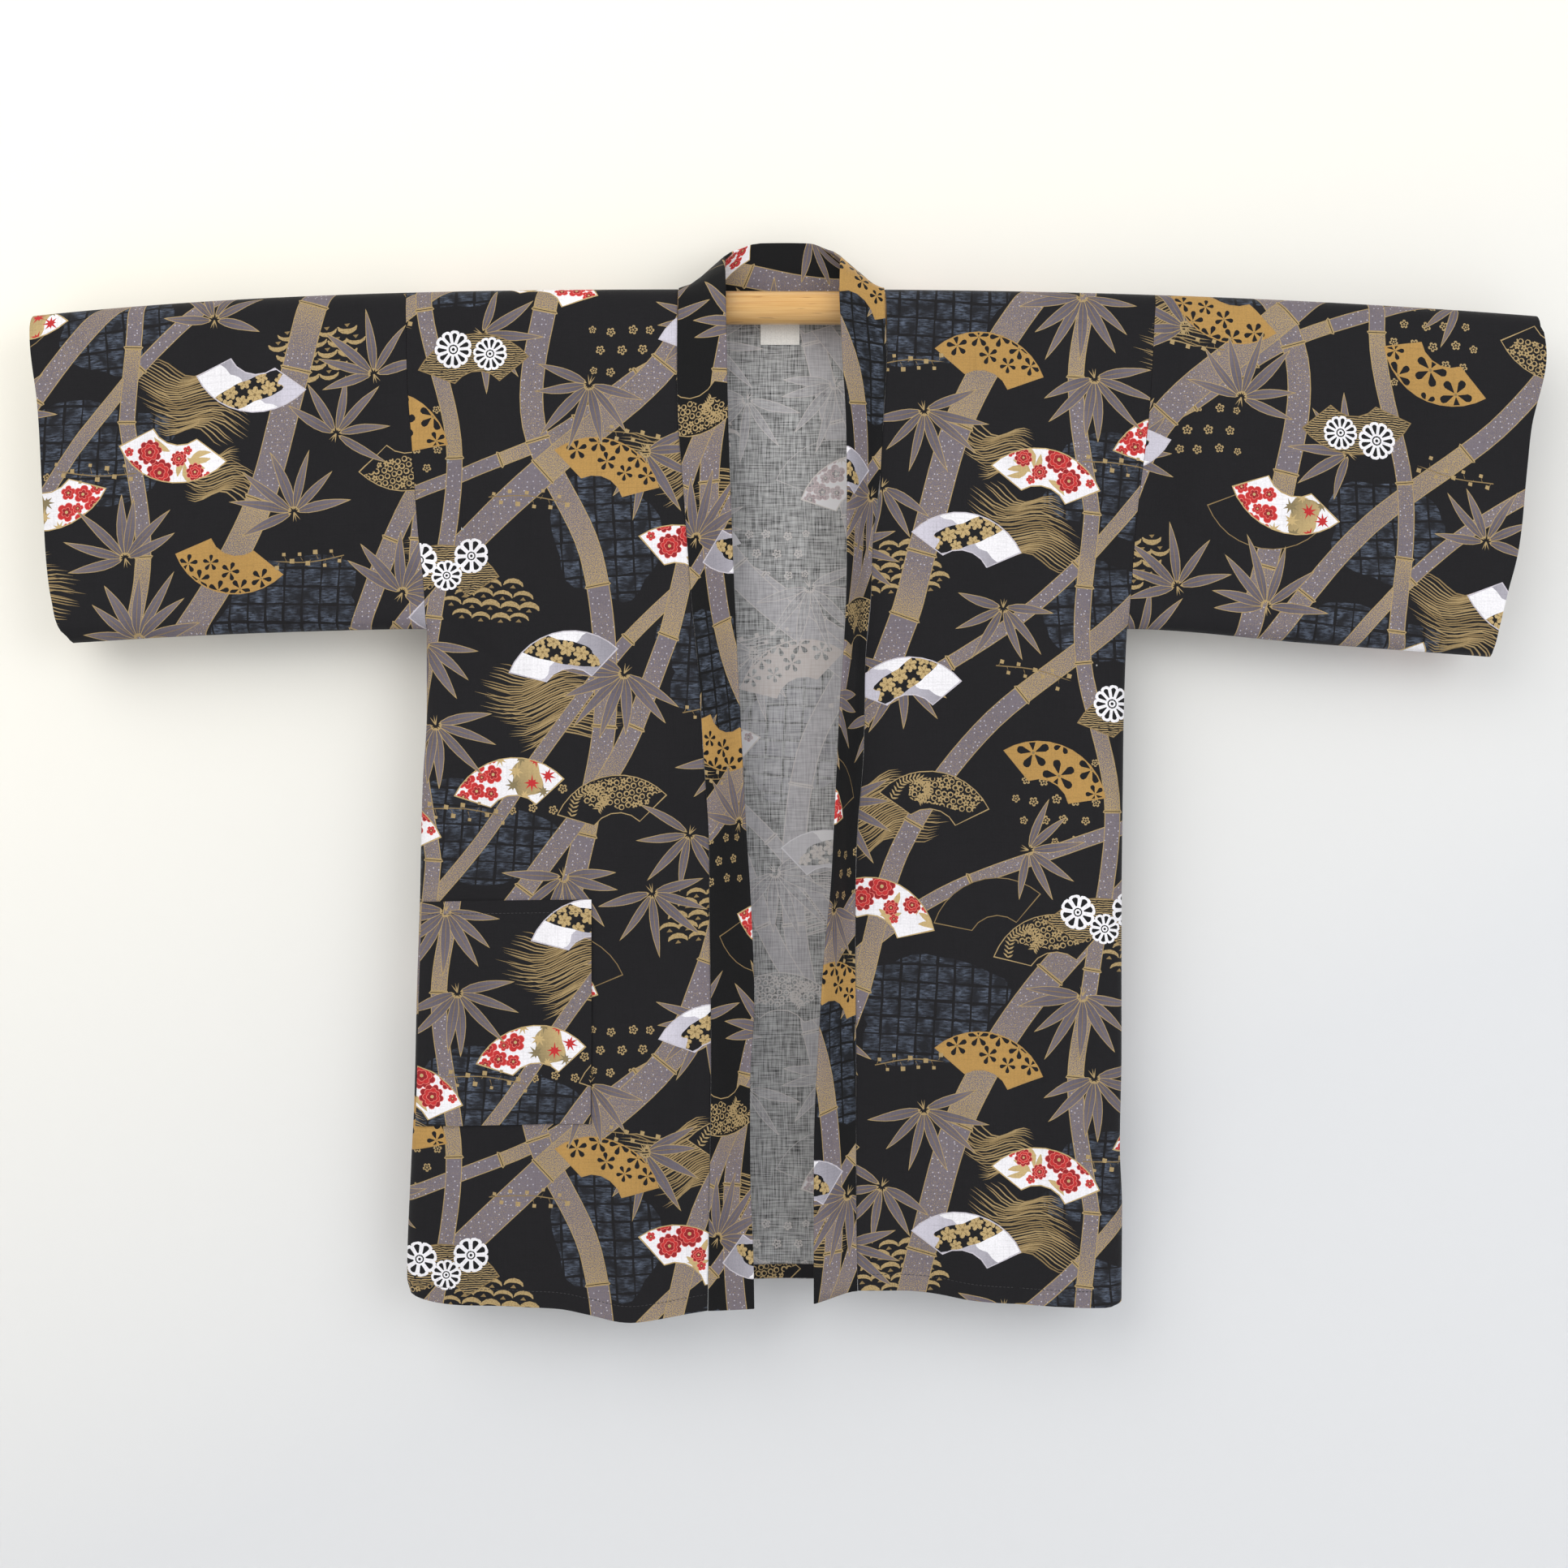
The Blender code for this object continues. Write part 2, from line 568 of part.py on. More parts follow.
def bamboo_pole(name, finish):
    """A turned culm with a cut hollow at each end, bowed as it hangs."""
    places = [-POLE_HALF_LENGTH + 2 * POLE_HALF_LENGTH * step / POLE_STEPS for step in range(POLE_STEPS + 1)]
    places += [node + offset for node in POLE_NODES for offset in (-POLE_NODE_HALF, 0, POLE_NODE_HALF)]
    places.sort()
    hole_end = POLE_HALF_LENGTH - POLE_HOLE_DEPTH
    profile = [(-hole_end, 0), (-hole_end, POLE_HOLE_RADIUS), (-POLE_HALF_LENGTH, POLE_HOLE_RADIUS)]
    profile += [(x, pole_radius(x)) for x in places]
    profile += [(POLE_HALF_LENGTH, POLE_HOLE_RADIUS), (hole_end, POLE_HOLE_RADIUS), (hole_end, 0)]
    shape = bmesh.new()
    verts = [shape.verts.new((x, 0, radius)) for x, radius in profile]
    edges = [shape.edges.new(pair) for pair in zip(verts, verts[1:])]
    bmesh.ops.spin(shape, geom=verts + edges, cent=(0, 0, 0), axis=(1, 0, 0), angle=2 * math.pi, steps=POLE_SIDES,
                   use_merge=True)
    bmesh.ops.remove_doubles(shape, verts=shape.verts, dist=0.00001)
    for vert in shape.verts:
        vert.co.z += float(pole_z(vert.co.x))
    bmesh.ops.recalc_face_normals(shape, faces=shape.faces)
    mesh = bpy.data.meshes.new(name)
    shape.to_mesh(mesh)
    shape.free()
    mesh.shade_smooth()
    mesh.set_sharp_from_angle(angle=math.radians(40))
    return add_object(name, mesh, finish)


remove_everything()
parts = bpy.data.collections.new("kimono jacket on a pole")
bpy.context.scene.collection.children.link(parts)

PRINT = material("printed cotton", (0.035, 0.034, 0.037), 0.85)
BAND_PRINT = material("printed cotton band", (0.016, 0.016, 0.018), 0.85)
LABEL = material("woven label", (0.78, 0.76, 0.72), 0.7)
BAMBOO = material("bamboo", (0.62, 0.42, 0.17), 0.35)

right_front = front_rows(True)
whole_back = back_rows()
bamboo_pole("bamboo_pole", BAMBOO)
loft("front_right", right_front, PRINT, CLOTH)
loft("front_left", front_rows(False), PRINT, CLOTH)
loft("back", whole_back, PRINT, CLOTH)
sleeve("sleeve_right", True, PRINT)
sleeve("sleeve_left", False, PRINT)
collar_band("collar_band", BAND_PRINT)
pocket("pocket", right_front, PRINT)
back_hem("back_hem", whole_back, PRINT)
neck_label("neck_label", whole_back, LABEL)
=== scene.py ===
import json
import math
import random
from typing import NamedTuple

import bmesh
import bpy
import numpy as np
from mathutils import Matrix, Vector
from mathutils.geometry import delaunay_2d_cdt

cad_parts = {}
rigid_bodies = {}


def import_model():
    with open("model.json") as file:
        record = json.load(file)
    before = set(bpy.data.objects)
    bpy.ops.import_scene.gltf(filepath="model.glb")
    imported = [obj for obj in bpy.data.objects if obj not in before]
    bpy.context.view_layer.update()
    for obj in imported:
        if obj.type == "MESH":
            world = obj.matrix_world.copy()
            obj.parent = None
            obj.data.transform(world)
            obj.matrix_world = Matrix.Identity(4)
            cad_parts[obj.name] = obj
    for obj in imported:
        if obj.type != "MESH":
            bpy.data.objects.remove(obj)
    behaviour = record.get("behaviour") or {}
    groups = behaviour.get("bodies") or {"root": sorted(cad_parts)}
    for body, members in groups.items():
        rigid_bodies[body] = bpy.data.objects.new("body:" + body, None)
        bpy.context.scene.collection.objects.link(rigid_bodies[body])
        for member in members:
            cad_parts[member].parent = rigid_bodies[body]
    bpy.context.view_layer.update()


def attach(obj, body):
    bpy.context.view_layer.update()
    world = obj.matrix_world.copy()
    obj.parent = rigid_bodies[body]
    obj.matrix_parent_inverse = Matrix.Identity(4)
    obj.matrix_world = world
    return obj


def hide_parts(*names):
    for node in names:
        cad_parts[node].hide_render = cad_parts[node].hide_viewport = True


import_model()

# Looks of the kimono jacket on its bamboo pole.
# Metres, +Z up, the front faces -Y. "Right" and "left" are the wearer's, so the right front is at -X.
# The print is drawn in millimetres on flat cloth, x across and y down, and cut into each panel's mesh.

MM = 0.001

# Cloth and seams
CLOTH = 1.0 * MM
BAND_CLOTH = 2.4 * MM
SEAM_GAP = 0.3 * MM
PATCH_STEP = CLOTH + SEAM_GAP

# Pole
POLE_RADIUS = 14.2 * MM
POLE_END_RADIUS = 12.9 * MM
POLE_HALF_LENGTH = 612 * MM
POLE_NODES = (-420 * MM, -130 * MM, 160 * MM, 440 * MM)
POLE_HOLE_RADIUS = 8.5 * MM
POLE_HOLE_DEPTH = 24 * MM

# The cloth's fold over the pole, to the middle of its wall
RIDGE_RADIUS = 15.2 * MM
RIDGE_ARC = math.pi / 2 * RIDGE_RADIUS
SLEEVE_REACH = 647 * MM
SLEEVE_DROOP = 23 * MM
DROOP_POWER_RIGHT = 3.0
DROOP_POWER_LEFT = 2.2

# Half depths of the hung jacket, at the pole, at the underarm and at the hem
FRONT_DEPTHS = (15.2 * MM, 13.6 * MM, 13.0 * MM)
BACK_DEPTHS = (15.2 * MM, 12.5 * MM, 11.0 * MM)
SLEEVE_LOW_DEPTH = 11.5 * MM
NECK_BACK_DEPTH = 19.0 * MM
EDGE_ROUND = 14 * MM
ARM_BLEND = 60 * MM
UNDERARM_Z = -277 * MM
HEM_Z = -860 * MM
FOLD_FADE = 60 * MM

# Outlines in millimetres: rows of (z, x), from the top down
RIGHT_CUFF = (
    (-9, -646.5), (-26, -646.5), (-88, -640), (-168, -636), (-230, -632.5), (-255, -629), (-282, -621.5),
    (-290, -614),
)
LEFT_CUFF = (
    (-9, 648.5), (-43, 653.5), (-106, 641), (-140, 637.5), (-214, 630), (-252, 620.5), (-300, 609.5),
)
RIGHT_SIDE = (
    (12, -324.3), (-68, -323), (-118, -319.5), (-192, -314.5), (-242, -309.5), (-277, -308), (-350, -308),
    (-411, -311.5), (-513, -314), (-588, -316.5), (-690, -319), (-739, -321.5), (-836, -325), (-852, -321),
)
LEFT_SIDE = (
    (12, 318.8), (-94, 313.2), (-178, 303.5), (-258, 297.2), (-282, 295.5), (-350, 293), (-411, 292.2),
    (-533, 291), (-643, 291), (-723, 289.6), (-777, 291.5), (-856, 291),
)
RIGHT_SEAM = (
    (15, -91.2), (-94, -91), (-150, -87), (-198, -83.5), (-263, -78.6), (-319, -73.1), (-382, -69.6),
    (-448, -64.8), (-513, -64), (-640, -62.6), (-764, -64), (-863, -65.4),
)
RIGHT_FREE = (
    (15, -50.8), (-101, -48.7), (-179, -46), (-248, -43.2), (-310, -40.4), (-363, -37.6), (-445, -33.4),
    (-527, -28.5), (-602, -26.4), (-644, -29.2), (-738, -29.9), (-790, -27.8), (-858, -26.4),
)
LEFT_SEAM = (
    (15, 87), (-32, 88.4), (-80, 86.5), (-129, 83), (-166, 81.5), (-199, 76.5), (-258, 74.2), (-302, 70),
    (-384, 68.4), (-455, 62.8), (-527, 61.2), (-665, 61.9), (-769, 61.9), (-846, 63.3),
)
LEFT_FREE = (
    (15, 47.5), (-50, 50.8), (-101, 53.6), (-199, 54.3), (-258, 53.6), (-310, 50.8), (-349, 48),
    (-425, 44.5), (-521, 39), (-558, 34.8), (-602, 32), (-665, 28.5), (-727, 26.4), (-853, 26.4),
)

# Lower edges in millimetres: rows of (x, z)
SLEEVE_BOTTOM = (
    (-614, -289), (-523, -283.5), (-424, -279.5), (-308, -277), (296, -277), (450, -289), (609, -301),
)
FRONT_HEM = (
    (-325, -849), (-299, -856), (-232, -859.6), (-192, -862.5), (-170, -867), (-132, -872), (-108, -870),
    (-83, -866), (-65, -863), (-26, -857), (26, -853), (63, -846), (120, -847.7), (165, -854),
    (232, -859.6), (276, -861), (291, -857),
)
BACK_HEM = (
    (-325, -847), (-200, -850), (-60, -843), (0, -841.5), (60, -842), (120, -843), (230, -850), (291, -849),
)

# Soft folds in millimetres: rows of (top x, bottom x, top z, bottom z, half width, outward depth)
OPEN_END = -1200
FRONT_FOLDS = (
    (-296, -262, -10, -375, 20, -5.5), (-258, -226, -10, -430, 24, 2.5), (-182, -170, -40, -360, 30, -2.5),
    (-112, -84, -260, -860, 10, 2), (-205, -176, -540, OPEN_END, 26, -4),
    (-140, -132, -620, OPEN_END, 26, 7), (-286, -292, -600, OPEN_END, 20, 2.5),
    (304, 290, 10, -320, 15, -5), (268, 262, -90, -500, 20, 2.5), (192, 205, -230, -720, 36, -3),
    (118, 110, -570, OPEN_END, 24, -3.5), (188, 165, -620, OPEN_END, 26, 4.5),
    (262, 268, -540, OPEN_END, 18, 3),
)
BACK_FOLDS = (
    (-252, -238, -20, -430, 26, -3), (-150, -138, -460, OPEN_END, 40, 4),
    (-286, -290, -540, OPEN_END, 22, 3), (62, 74, -80, -520, 40, -2), (122, 134, -430, OPEN_END, 30, -3),
    (236, 226, -40, -520, 26, 3), (4, -6, -330, OPEN_END, 60, 3),
)
SLEEVE_FOLDS = (
    (-345, -338, 10, -300, 14, -3), (-424, -436, -30, -290, 30, 2), (-566, -578, -40, -290, 28, -2.5),
    (334, 328, 10, -290, 14, -4), (436, 456, -60, -300, 34, 2.5), (548, 520, -40, -230, 30, -3),
    (606, 600, -80, -310, 18, 1.5),
)

# Fine creases in millimetres: rows of (x, z at one end, x, z at the other, half width, outward depth, bow)
FRONT_CREASES = (
    (-292, -40, -272, -215, 7, -1.6, 5), (-306, -120, -246, -262, 5, 1.1, -6),
    (-284, -268, -214, -330, 6, -1.2, 4), (-240, -60, -228, -250, 8, 1.2, -5),
    (-196, -52, -206, -190, 6, -0.9, 3), (-158, -96, -122, -318, 8, 1.1, 6),
    (-130, -30, -106, -150, 6, -1, 3), (-250, -400, -236, -505, 7, -0.9, 4),
    (-172, -420, -150, -560, 8, 1, -6), (-118, -360, -92, -470, 5, -1, 4),
    (-228, -730, -214, -850, 7, 1.2, 3), (-168, -700, -158, -858, 8, -1.4, -4),
    (-108, -640, -100, -856, 6, 1, 3), (-296, -640, -288, -840, 6, -1, 3),
    (-88, -560, -78, -690, 4, -0.9, 2), (298, -60, 276, -232, 6, -1.6, -5), (292, -190, 250, -300, 5, 1, 5),
    (282, -290, 226, -352, 6, -1.3, -4), (246, -48, 236, -210, 7, 1.1, 4),
    (196, -40, 214, -170, 6, -0.9, -3), (150, -110, 126, -320, 7, 1.1, -5),
    (124, -34, 104, -140, 6, -1, -3), (252, -380, 262, -560, 8, -1.1, 5), (168, -400, 182, -560, 7, 1, 5),
    (104, -420, 92, -600, 5, -1.1, -4), (226, -640, 232, -856, 7, 1.3, -4),
    (150, -690, 138, -850, 8, -1.4, 4), (92, -700, 86, -846, 5, 1, -3), (280, -560, 276, -700, 6, -1, -3),
    (204, -760, 200, -856, 6, -1.2, 2),
)
BACK_CREASES = (
    (-290, -50, -262, -240, 7, -1.4, 5), (-300, -150, -236, -290, 5, 1, -6),
    (-150, -26, -118, -220, 8, -1, 5), (-60, -34, -48, -190, 7, 1.1, -4), (10, -30, 4, -260, 9, -1.1, 3),
    (74, -34, 84, -200, 7, 1, 4), (170, -28, 130, -230, 8, -1, -5), (288, -50, 258, -238, 7, 1.3, -5),
    (280, -160, 226, -300, 5, -1.1, 6), (-210, -330, -196, -560, 9, 1.1, -5),
    (-96, -420, -110, -640, 8, -1, 4), (60, -380, 72, -600, 9, 1, 5), (190, -400, 176, -620, 8, -1.1, -4),
    (-180, -650, -170, -846, 8, 1.3, 4), (-30, -640, -22, -840, 9, -1.2, 4),
    (110, -660, 120, -842, 8, 1.2, -4), (234, -640, 226, -846, 7, -1.2, 3),
    (-262, -620, -268, -840, 7, -1, 3),
)
SLEEVE_CREASES = (
    (-360, -30, -352, -250, 6, 1.3, 4), (-396, -60, -372, -240, 8, -1.1, 6),
    (-470, -40, -486, -230, 8, 1.2, -6), (-520, -36, -500, -190, 6, -1, 5),
    (-604, -50, -596, -260, 7, 1, 4), (-330, -180, -430, -262, 6, -1.1, 6),
    (-540, -210, -610, -268, 6, 1, -4), (350, -30, 344, -250, 6, 1.4, -4),
    (390, -70, 366, -250, 8, -1.2, -6), (476, -40, 500, -240, 8, 1.1, 6), (530, -80, 560, -236, 6, -1, -5),
    (586, -40, 580, -280, 7, -1.1, 4), (322, -170, 420, -262, 6, -1.2, -6), (500, -250, 600, -262, 6, 1, 3),
)
CREASE_END = 0.16
SEAM_CALM = 16 * MM
SEAM_DIP = 0.7 * MM
SEAM_DIP_HALF = 2.4 * MM
PUCKER_REACH = 22 * MM
PUCKER_DEPTH = 0.55 * MM
PUCKER_WAVES = ((0.019, 0.3), (0.0307, 1.9), (0.0413, 4.2))

# Collar band round the neck, right half, in millimetres:
# rows of (x, y, z of the seam, x, y, z of the free edge), from the front to the middle of the back
NECK_STATIONS = (
    (-91.2, -15.2, 0, -50.6, -29, 6), (-91.2, -14, 5.8, -50.9, -26, 15.5),
    (-91.2, -10.7, 10.8, -51.2, -22, 25), (-91.2, -5.8, 14, -51.4, -16.5, 31.5),
    (-91.2, 0, 15.2, -51.5, -10, 36.5), (-90.2, 4.7, 14.5, -52, -4.5, 40), (-87.5, 9.2, 12.9, -52, 1, 43),
    (-76, 14.5, 13.5, -46, 10, 49.5), (-58, 17.5, 14, -37, 16.5, 54.5), (-36, 18.7, 14.3, -26.5, 20, 59),
    (-14, 19, 14.5, -11, 21, 60),
)
NECK_CORNER_ROW = 7
NECK_LEFT_SHARE = 0.953
NECK_HALF_WIDTH = 91.2 * MM
NECK_FLAT_HALF = 40 * MM
NECK_FREE_Z = 6 * MM
BAND_WIDTH = 45 * MM
BAND_STAND = 0.62
BAND_HINGE = 9 * MM
BAND_LEAD = 14 * MM
NECK_GAP = 0.7 * MM
BAND_PROUD = (BAND_CLOTH - CLOTH) / 2
BAND_LEVELS = 17

# Pocket on the right front, label inside the back neck, and the back's turned-up hem
POCKET_TOP = -512.5 * MM
POCKET_BOTTOM = -705 * MM
POCKET_INNER_X = -165 * MM
POCKET_EASE = 0.2 * MM
POCKET_SIDE_INSET = 4 * MM
POCKET_HEM = 11 * MM
LABEL_LEFT_X = -20.5 * MM
LABEL_RIGHT_X = 13.5 * MM
LABEL_TOP = 9 * MM
LABEL_BOTTOM = -28.5 * MM
HEM_TURN = 12 * MM
HEM_LIFT = 0.8 * MM
HEM_SIDE_INSET = 18 * MM
FRONT_HEM_STITCH = 14 * MM
STITCH_PITCH = 3.4 * MM
STITCH_LENGTH = 2.6 * MM
STITCH_THICK = 0.3 * MM

# Mesh steps on the flat cloth; points nearer than the weld, in millimetres, become one
WELD = 0.002
STRAIGHT = 0.1
GRID_STEP = 11 * MM
RIDGE_STEP = RIDGE_ARC / 7
EDGE_STEP = 5 * MM
EDGE_RAILS = (0.5 * MM, 2 * MM, 4.5 * MM, 8.5 * MM, 14 * MM)
NORMAL_STEP = 0.4 * MM

# Camera: the photo is 1932 pixels wide and square
PHOTO_PIXELS = 1932
PIXEL = 0.696 * MM
CAMERA_DISTANCE = 1.90
CAMERA_Z = -0.4113
SENSOR = 36.0
FRONT_PLANE_Y = -0.014


# Reading the tables
def along(rows, at):
    """The value at a place in a table of (place, value) rows in millimetres, joined by a smooth curve."""
    places = np.array([row[0] for row in rows], float) * MM
    values = np.array([row[1] for row in rows], float) * MM
    if places[0] > places[-1]:
        places, values = places[::-1], values[::-1]
    steps = np.diff(places)
    slopes = np.diff(values) / steps
    tangents = np.concatenate(([slopes[0]], (slopes[1:] + slopes[:-1]) / 2, [slopes[-1]]))
    turning = np.concatenate(([False], slopes[1:] * slopes[:-1] <= 0, [False]))
    tangents[turning] = 0
    at = np.clip(at, places[0], places[-1])
    index = np.clip(np.searchsorted(places, at) - 1, 0, len(steps) - 1)
    step = steps[index]
    t = (at - places[index]) / step
    return ((2 * t**3 - 3 * t**2 + 1) * values[index] + (t**3 - 2 * t**2 + t) * step * tangents[index]
        + (3 * t**2 - 2 * t**3) * values[index + 1] + (t**3 - t**2) * step * tangents[index + 1])


def smooth_step(t):
    t = np.clip(t, 0, 1)
    return t * t * (3 - 2 * t)


def unit(vectors):
    """Vectors of length 1 in the same directions."""
    return vectors / np.maximum(np.linalg.norm(vectors, axis=-1, keepdims=True), 1e-12)


def lengths_along(line):
    """The length of a line at each of its points."""
    return np.concatenate(([0], np.cumsum(np.linalg.norm(np.diff(line, axis=0), axis=1))))


# The hung form
def pole_z(x):
    """Height of the pole's axis, which bows down towards both ends."""
    power = np.where(np.asarray(x) < 0, DROOP_POWER_RIGHT, DROOP_POWER_LEFT)
    return -SLEEVE_DROOP * (np.abs(x) / SLEEVE_REACH) ** power


def side_x(x, z):
    """The armhole seam and side seam on the same side as x."""
    return np.where(np.asarray(x) < 0, along(RIGHT_SIDE, z), along(LEFT_SIDE, z))


def fold_depth(rows, x, z):
    """How far the soft folds push the cloth outward at a point."""
    out = np.zeros(np.broadcast(x, z).shape)
    for top_x, bottom_x, top_z, bottom_z, half_width, depth in rows:
        low_z = max(bottom_z * MM, HEM_Z)
        centre = (top_x + (bottom_x - top_x) * np.clip((top_z * MM - z) / (top_z * MM - low_z), 0, 1)) * MM
        fade = smooth_step((top_z * MM - z) / FOLD_FADE) * smooth_step((z - bottom_z * MM) / FOLD_FADE)
        out = out + depth * MM * fade * np.exp(-((x - centre) / (half_width * MM)) ** 2)
    return out


def crease_depth(rows, x, z):
    """How far the fine creases, ridges or troughs along bowed lines, push the cloth outward."""
    out = np.zeros(np.broadcast(x, z).shape)
    for x0, z0, x1, z1, half_width, depth, bow in rows:
        start = np.array([x0, z0]) * MM
        reach = np.array([x1 - x0, z1 - z0]) * MM
        length = np.linalg.norm(reach)
        t = ((x - start[0]) * reach[0] + (z - start[1]) * reach[1]) / length**2
        off = ((x - start[0]) * reach[1] - (z - start[1]) * reach[0]) / length
        off = off - bow * MM * 4 * t * (1 - t)
        width = half_width * MM * (0.7 + 0.6 * np.clip(t, 0, 1))
        fade = smooth_step((t + CREASE_END) / (2 * CREASE_END))
        fade = fade * smooth_step((1 + CREASE_END - t) / (2 * CREASE_END))
        out = out + depth * MM * fade * np.exp(-(off / width) ** 2)
    return out


def seam_relief(x, z, inward):
    """The dip along the armhole and side seams, with the small puckers that the stitching draws in."""
    away = np.abs(inward)
    waves = sum(np.sin(2 * math.pi * z / length + phase + np.sign(x)) for length, phase in PUCKER_WAVES)
    pucker = PUCKER_DEPTH * waves / len(PUCKER_WAVES) * np.exp(-(away / PUCKER_REACH) ** 2)
    calm = 1 - np.exp(-(away / (2 * SEAM_DIP_HALF)) ** 2)
    return pucker * calm - SEAM_DIP * np.exp(-(away / SEAM_DIP_HALF) ** 2)


def neck_share(x):
    """1 behind the neck, 0 over the shoulders."""
    return smooth_step((NECK_HALF_WIDTH - np.abs(x)) / (NECK_HALF_WIDTH - NECK_FLAT_HALF))


def layer_depth(x, z, front, fine=False):
    """Distance of the cloth from the jacket's middle plane; fine adds creases and seam relief."""
    x, z = np.broadcast_arrays(np.asarray(x, float), np.asarray(z, float))
    top, middle, low = FRONT_DEPTHS if front else BACK_DEPTHS
    drop = pole_z(x) - z
    upper = top + (middle - top) * smooth_step(drop / -UNDERARM_Z)
    body = upper + (low - middle) * smooth_step((drop + UNDERARM_Z) / (UNDERARM_Z - HEM_Z))
    sleeve = top + (SLEEVE_LOW_DEPTH - top) * smooth_step(drop / -UNDERARM_Z)
    inward = np.abs(side_x(x, z)) - np.abs(x)
    in_body = inward >= 0
    body = body + fold_depth(FRONT_FOLDS if front else BACK_FOLDS, x, z) * smooth_step(drop / FOLD_FADE)
    share = smooth_step(inward / ARM_BLEND)
    sleeve = sleeve + fold_depth(SLEEVE_FOLDS, x, z) * smooth_step(drop / FOLD_FADE)
    depth = np.where(in_body, share * body + (1 - share) * sleeve, sleeve)
    if fine:
        depth = depth + fine_relief(x, z, front, drop, inward, in_body)
    floor = np.where(in_body, np.minimum(z, UNDERARM_Z), along(SLEEVE_BOTTOM, x))
    edge = np.hypot(np.where(in_body, inward, 0), np.maximum(z - floor, 0))
    rounding = np.sqrt(1 - (1 - np.clip(edge / EDGE_ROUND, 0, 1)) ** 2)
    if not front:
        depth = depth + (NECK_BACK_DEPTH - top) * neck_share(x) * (1 - smooth_step(drop / (4 * FOLD_FADE)))
    return np.maximum(depth * rounding, SEAM_GAP / 2)


def fine_relief(x, z, front, drop, inward, in_body):
    """Creases, calm at the pole and at the collar seam, and the relief of the armhole seam."""
    creases = np.where(in_body, crease_depth(FRONT_CREASES if front else BACK_CREASES, x, z),
        crease_depth(SLEEVE_CREASES, x if front else x + 21 * MM * np.sign(x), z))
    calm = smooth_step(drop / FOLD_FADE) * smooth_step(np.abs(inward) / SEAM_CALM)
    if front:
        seam = np.where(x < 0, along(RIGHT_SEAM, z), along(LEFT_SEAM, z))
        calm = calm * smooth_step((np.abs(x) - np.abs(seam)) / SEAM_CALM)
    at_arm = smooth_step(drop / (2 * RIDGE_RADIUS)) * smooth_step((z - UNDERARM_Z) / SEAM_CALM)
    return creases * calm + seam_relief(x, z, inward) * at_arm


def neck_seam(x):
    """Depth and height of the back's top edge: the ridge at the shoulders, the collar seam at the neck."""
    rows = np.array([row[:3] for row in NECK_STATIONS if row[1] >= 0]) * MM
    rows = np.vstack([rows, [0, rows[-1, 1], rows[-1, 2]]])
    places = -np.abs(x) / np.where(np.asarray(x) < 0, 1.0, NECK_LEFT_SHARE)
    return (np.interp(places, rows[:, 0], np.maximum(rows[:, 1], SEAM_GAP / 2)),
        np.interp(places, rows[:, 0], rows[:, 2]))


def layer_place(x, s, front):
    """Places on the front or back layer of points s below the ridge, measured along the cloth."""
    angle = np.clip(s / RIDGE_RADIUS, 0, math.pi / 2)
    z = pole_z(x) - np.maximum(s - RIDGE_ARC, 0)
    depth = layer_depth(x, z, front, fine=True)
    start_y, start_z = (SEAM_GAP / 2, RIDGE_RADIUS) if front else neck_seam(x)
    y = start_y + (depth - start_y) * np.sin(angle)
    return np.column_stack((x, -y if front else y, z + start_z * np.cos(angle)))


def front_place(x, s):
    return layer_place(x, s, True)


def back_place(x, s):
    return layer_place(x, s, False)


def sleeve_place(x, s):
    """One piece of cloth over the pole: s is above 0 on the front and below 0 on the back."""
    front = layer_place(x, np.abs(s), True)
    back = layer_place(x, np.abs(s), False)
    return np.where((s >= 0)[:, None], front, back)


# Flat outlines of the panels, x and s in metres
def drop_below(x, z):
    """Length of cloth from the ridge down to a height."""
    return RIDGE_ARC + pole_z(x) - z


def edge_x(rows, s, shift):
    """An upright edge's x at a length s below the ridge."""
    s = np.abs(s)
    start = pole_z(along(rows, 0.0))
    z = np.where(s < RIDGE_ARC, RIDGE_RADIUS * np.cos(s / RIDGE_RADIUS), start + RIDGE_ARC - s)
    return along(rows, z) + shift


def edge_line(rows, shift, first, last, step=EDGE_STEP):
    s = np.linspace(first, last, max(2, round(abs(last - first) / step) + 1))
    return np.column_stack((edge_x(rows, s, shift), s))


def level_line(rows, first, last, lift, sign=1, step=EDGE_STEP):
    """A line along a lower edge, lifted from it."""
    x = np.linspace(first, last, max(2, round(abs(last - first) / step) + 1))
    return np.column_stack((x, sign * (drop_below(x, along(rows, x)) - lift)))


def corner(edge_rows, shift, hem_rows):
    """Where an upright edge meets the lower edge, as x and s."""
    x = along(edge_rows, -1.0) + shift
    for _ in range(3):
        s = drop_below(x, along(hem_rows, x))
        x = edge_x(edge_rows, s, shift)
    return float(x), float(drop_below(x, along(hem_rows, x)))


class Flat(NamedTuple):
    """A panel's flat outline and the lines that its mesh keeps."""
    outline: np.ndarray
    lines: list


def grid_lines(outline, upright=GRID_STEP, level=GRID_STEP, levels=()):
    """Straight lines both ways over an outline's box."""
    low, high = outline.min(0), outline.max(0)
    lines = []
    for x in np.linspace(low[0], high[0], max(2, round((high[0] - low[0]) / upright) + 1))[1:-1]:
        lines.append(np.array([(x, low[1]), (x, high[1])]))
    count = max(2, round((high[1] - low[1]) / level) + 1)
    for s in list(levels) or np.linspace(low[1], high[1], count)[1:-1]:
        lines.append(np.array([(low[0], s), (high[0], s)]))
    return lines


def hanging_levels(last):
    """Levels down a panel: close together over the pole, then even."""
    over = [RIDGE_STEP * step for step in range(1, 9)]
    below = list(np.arange(over[-1] + GRID_STEP, last, GRID_STEP))
    return over + below


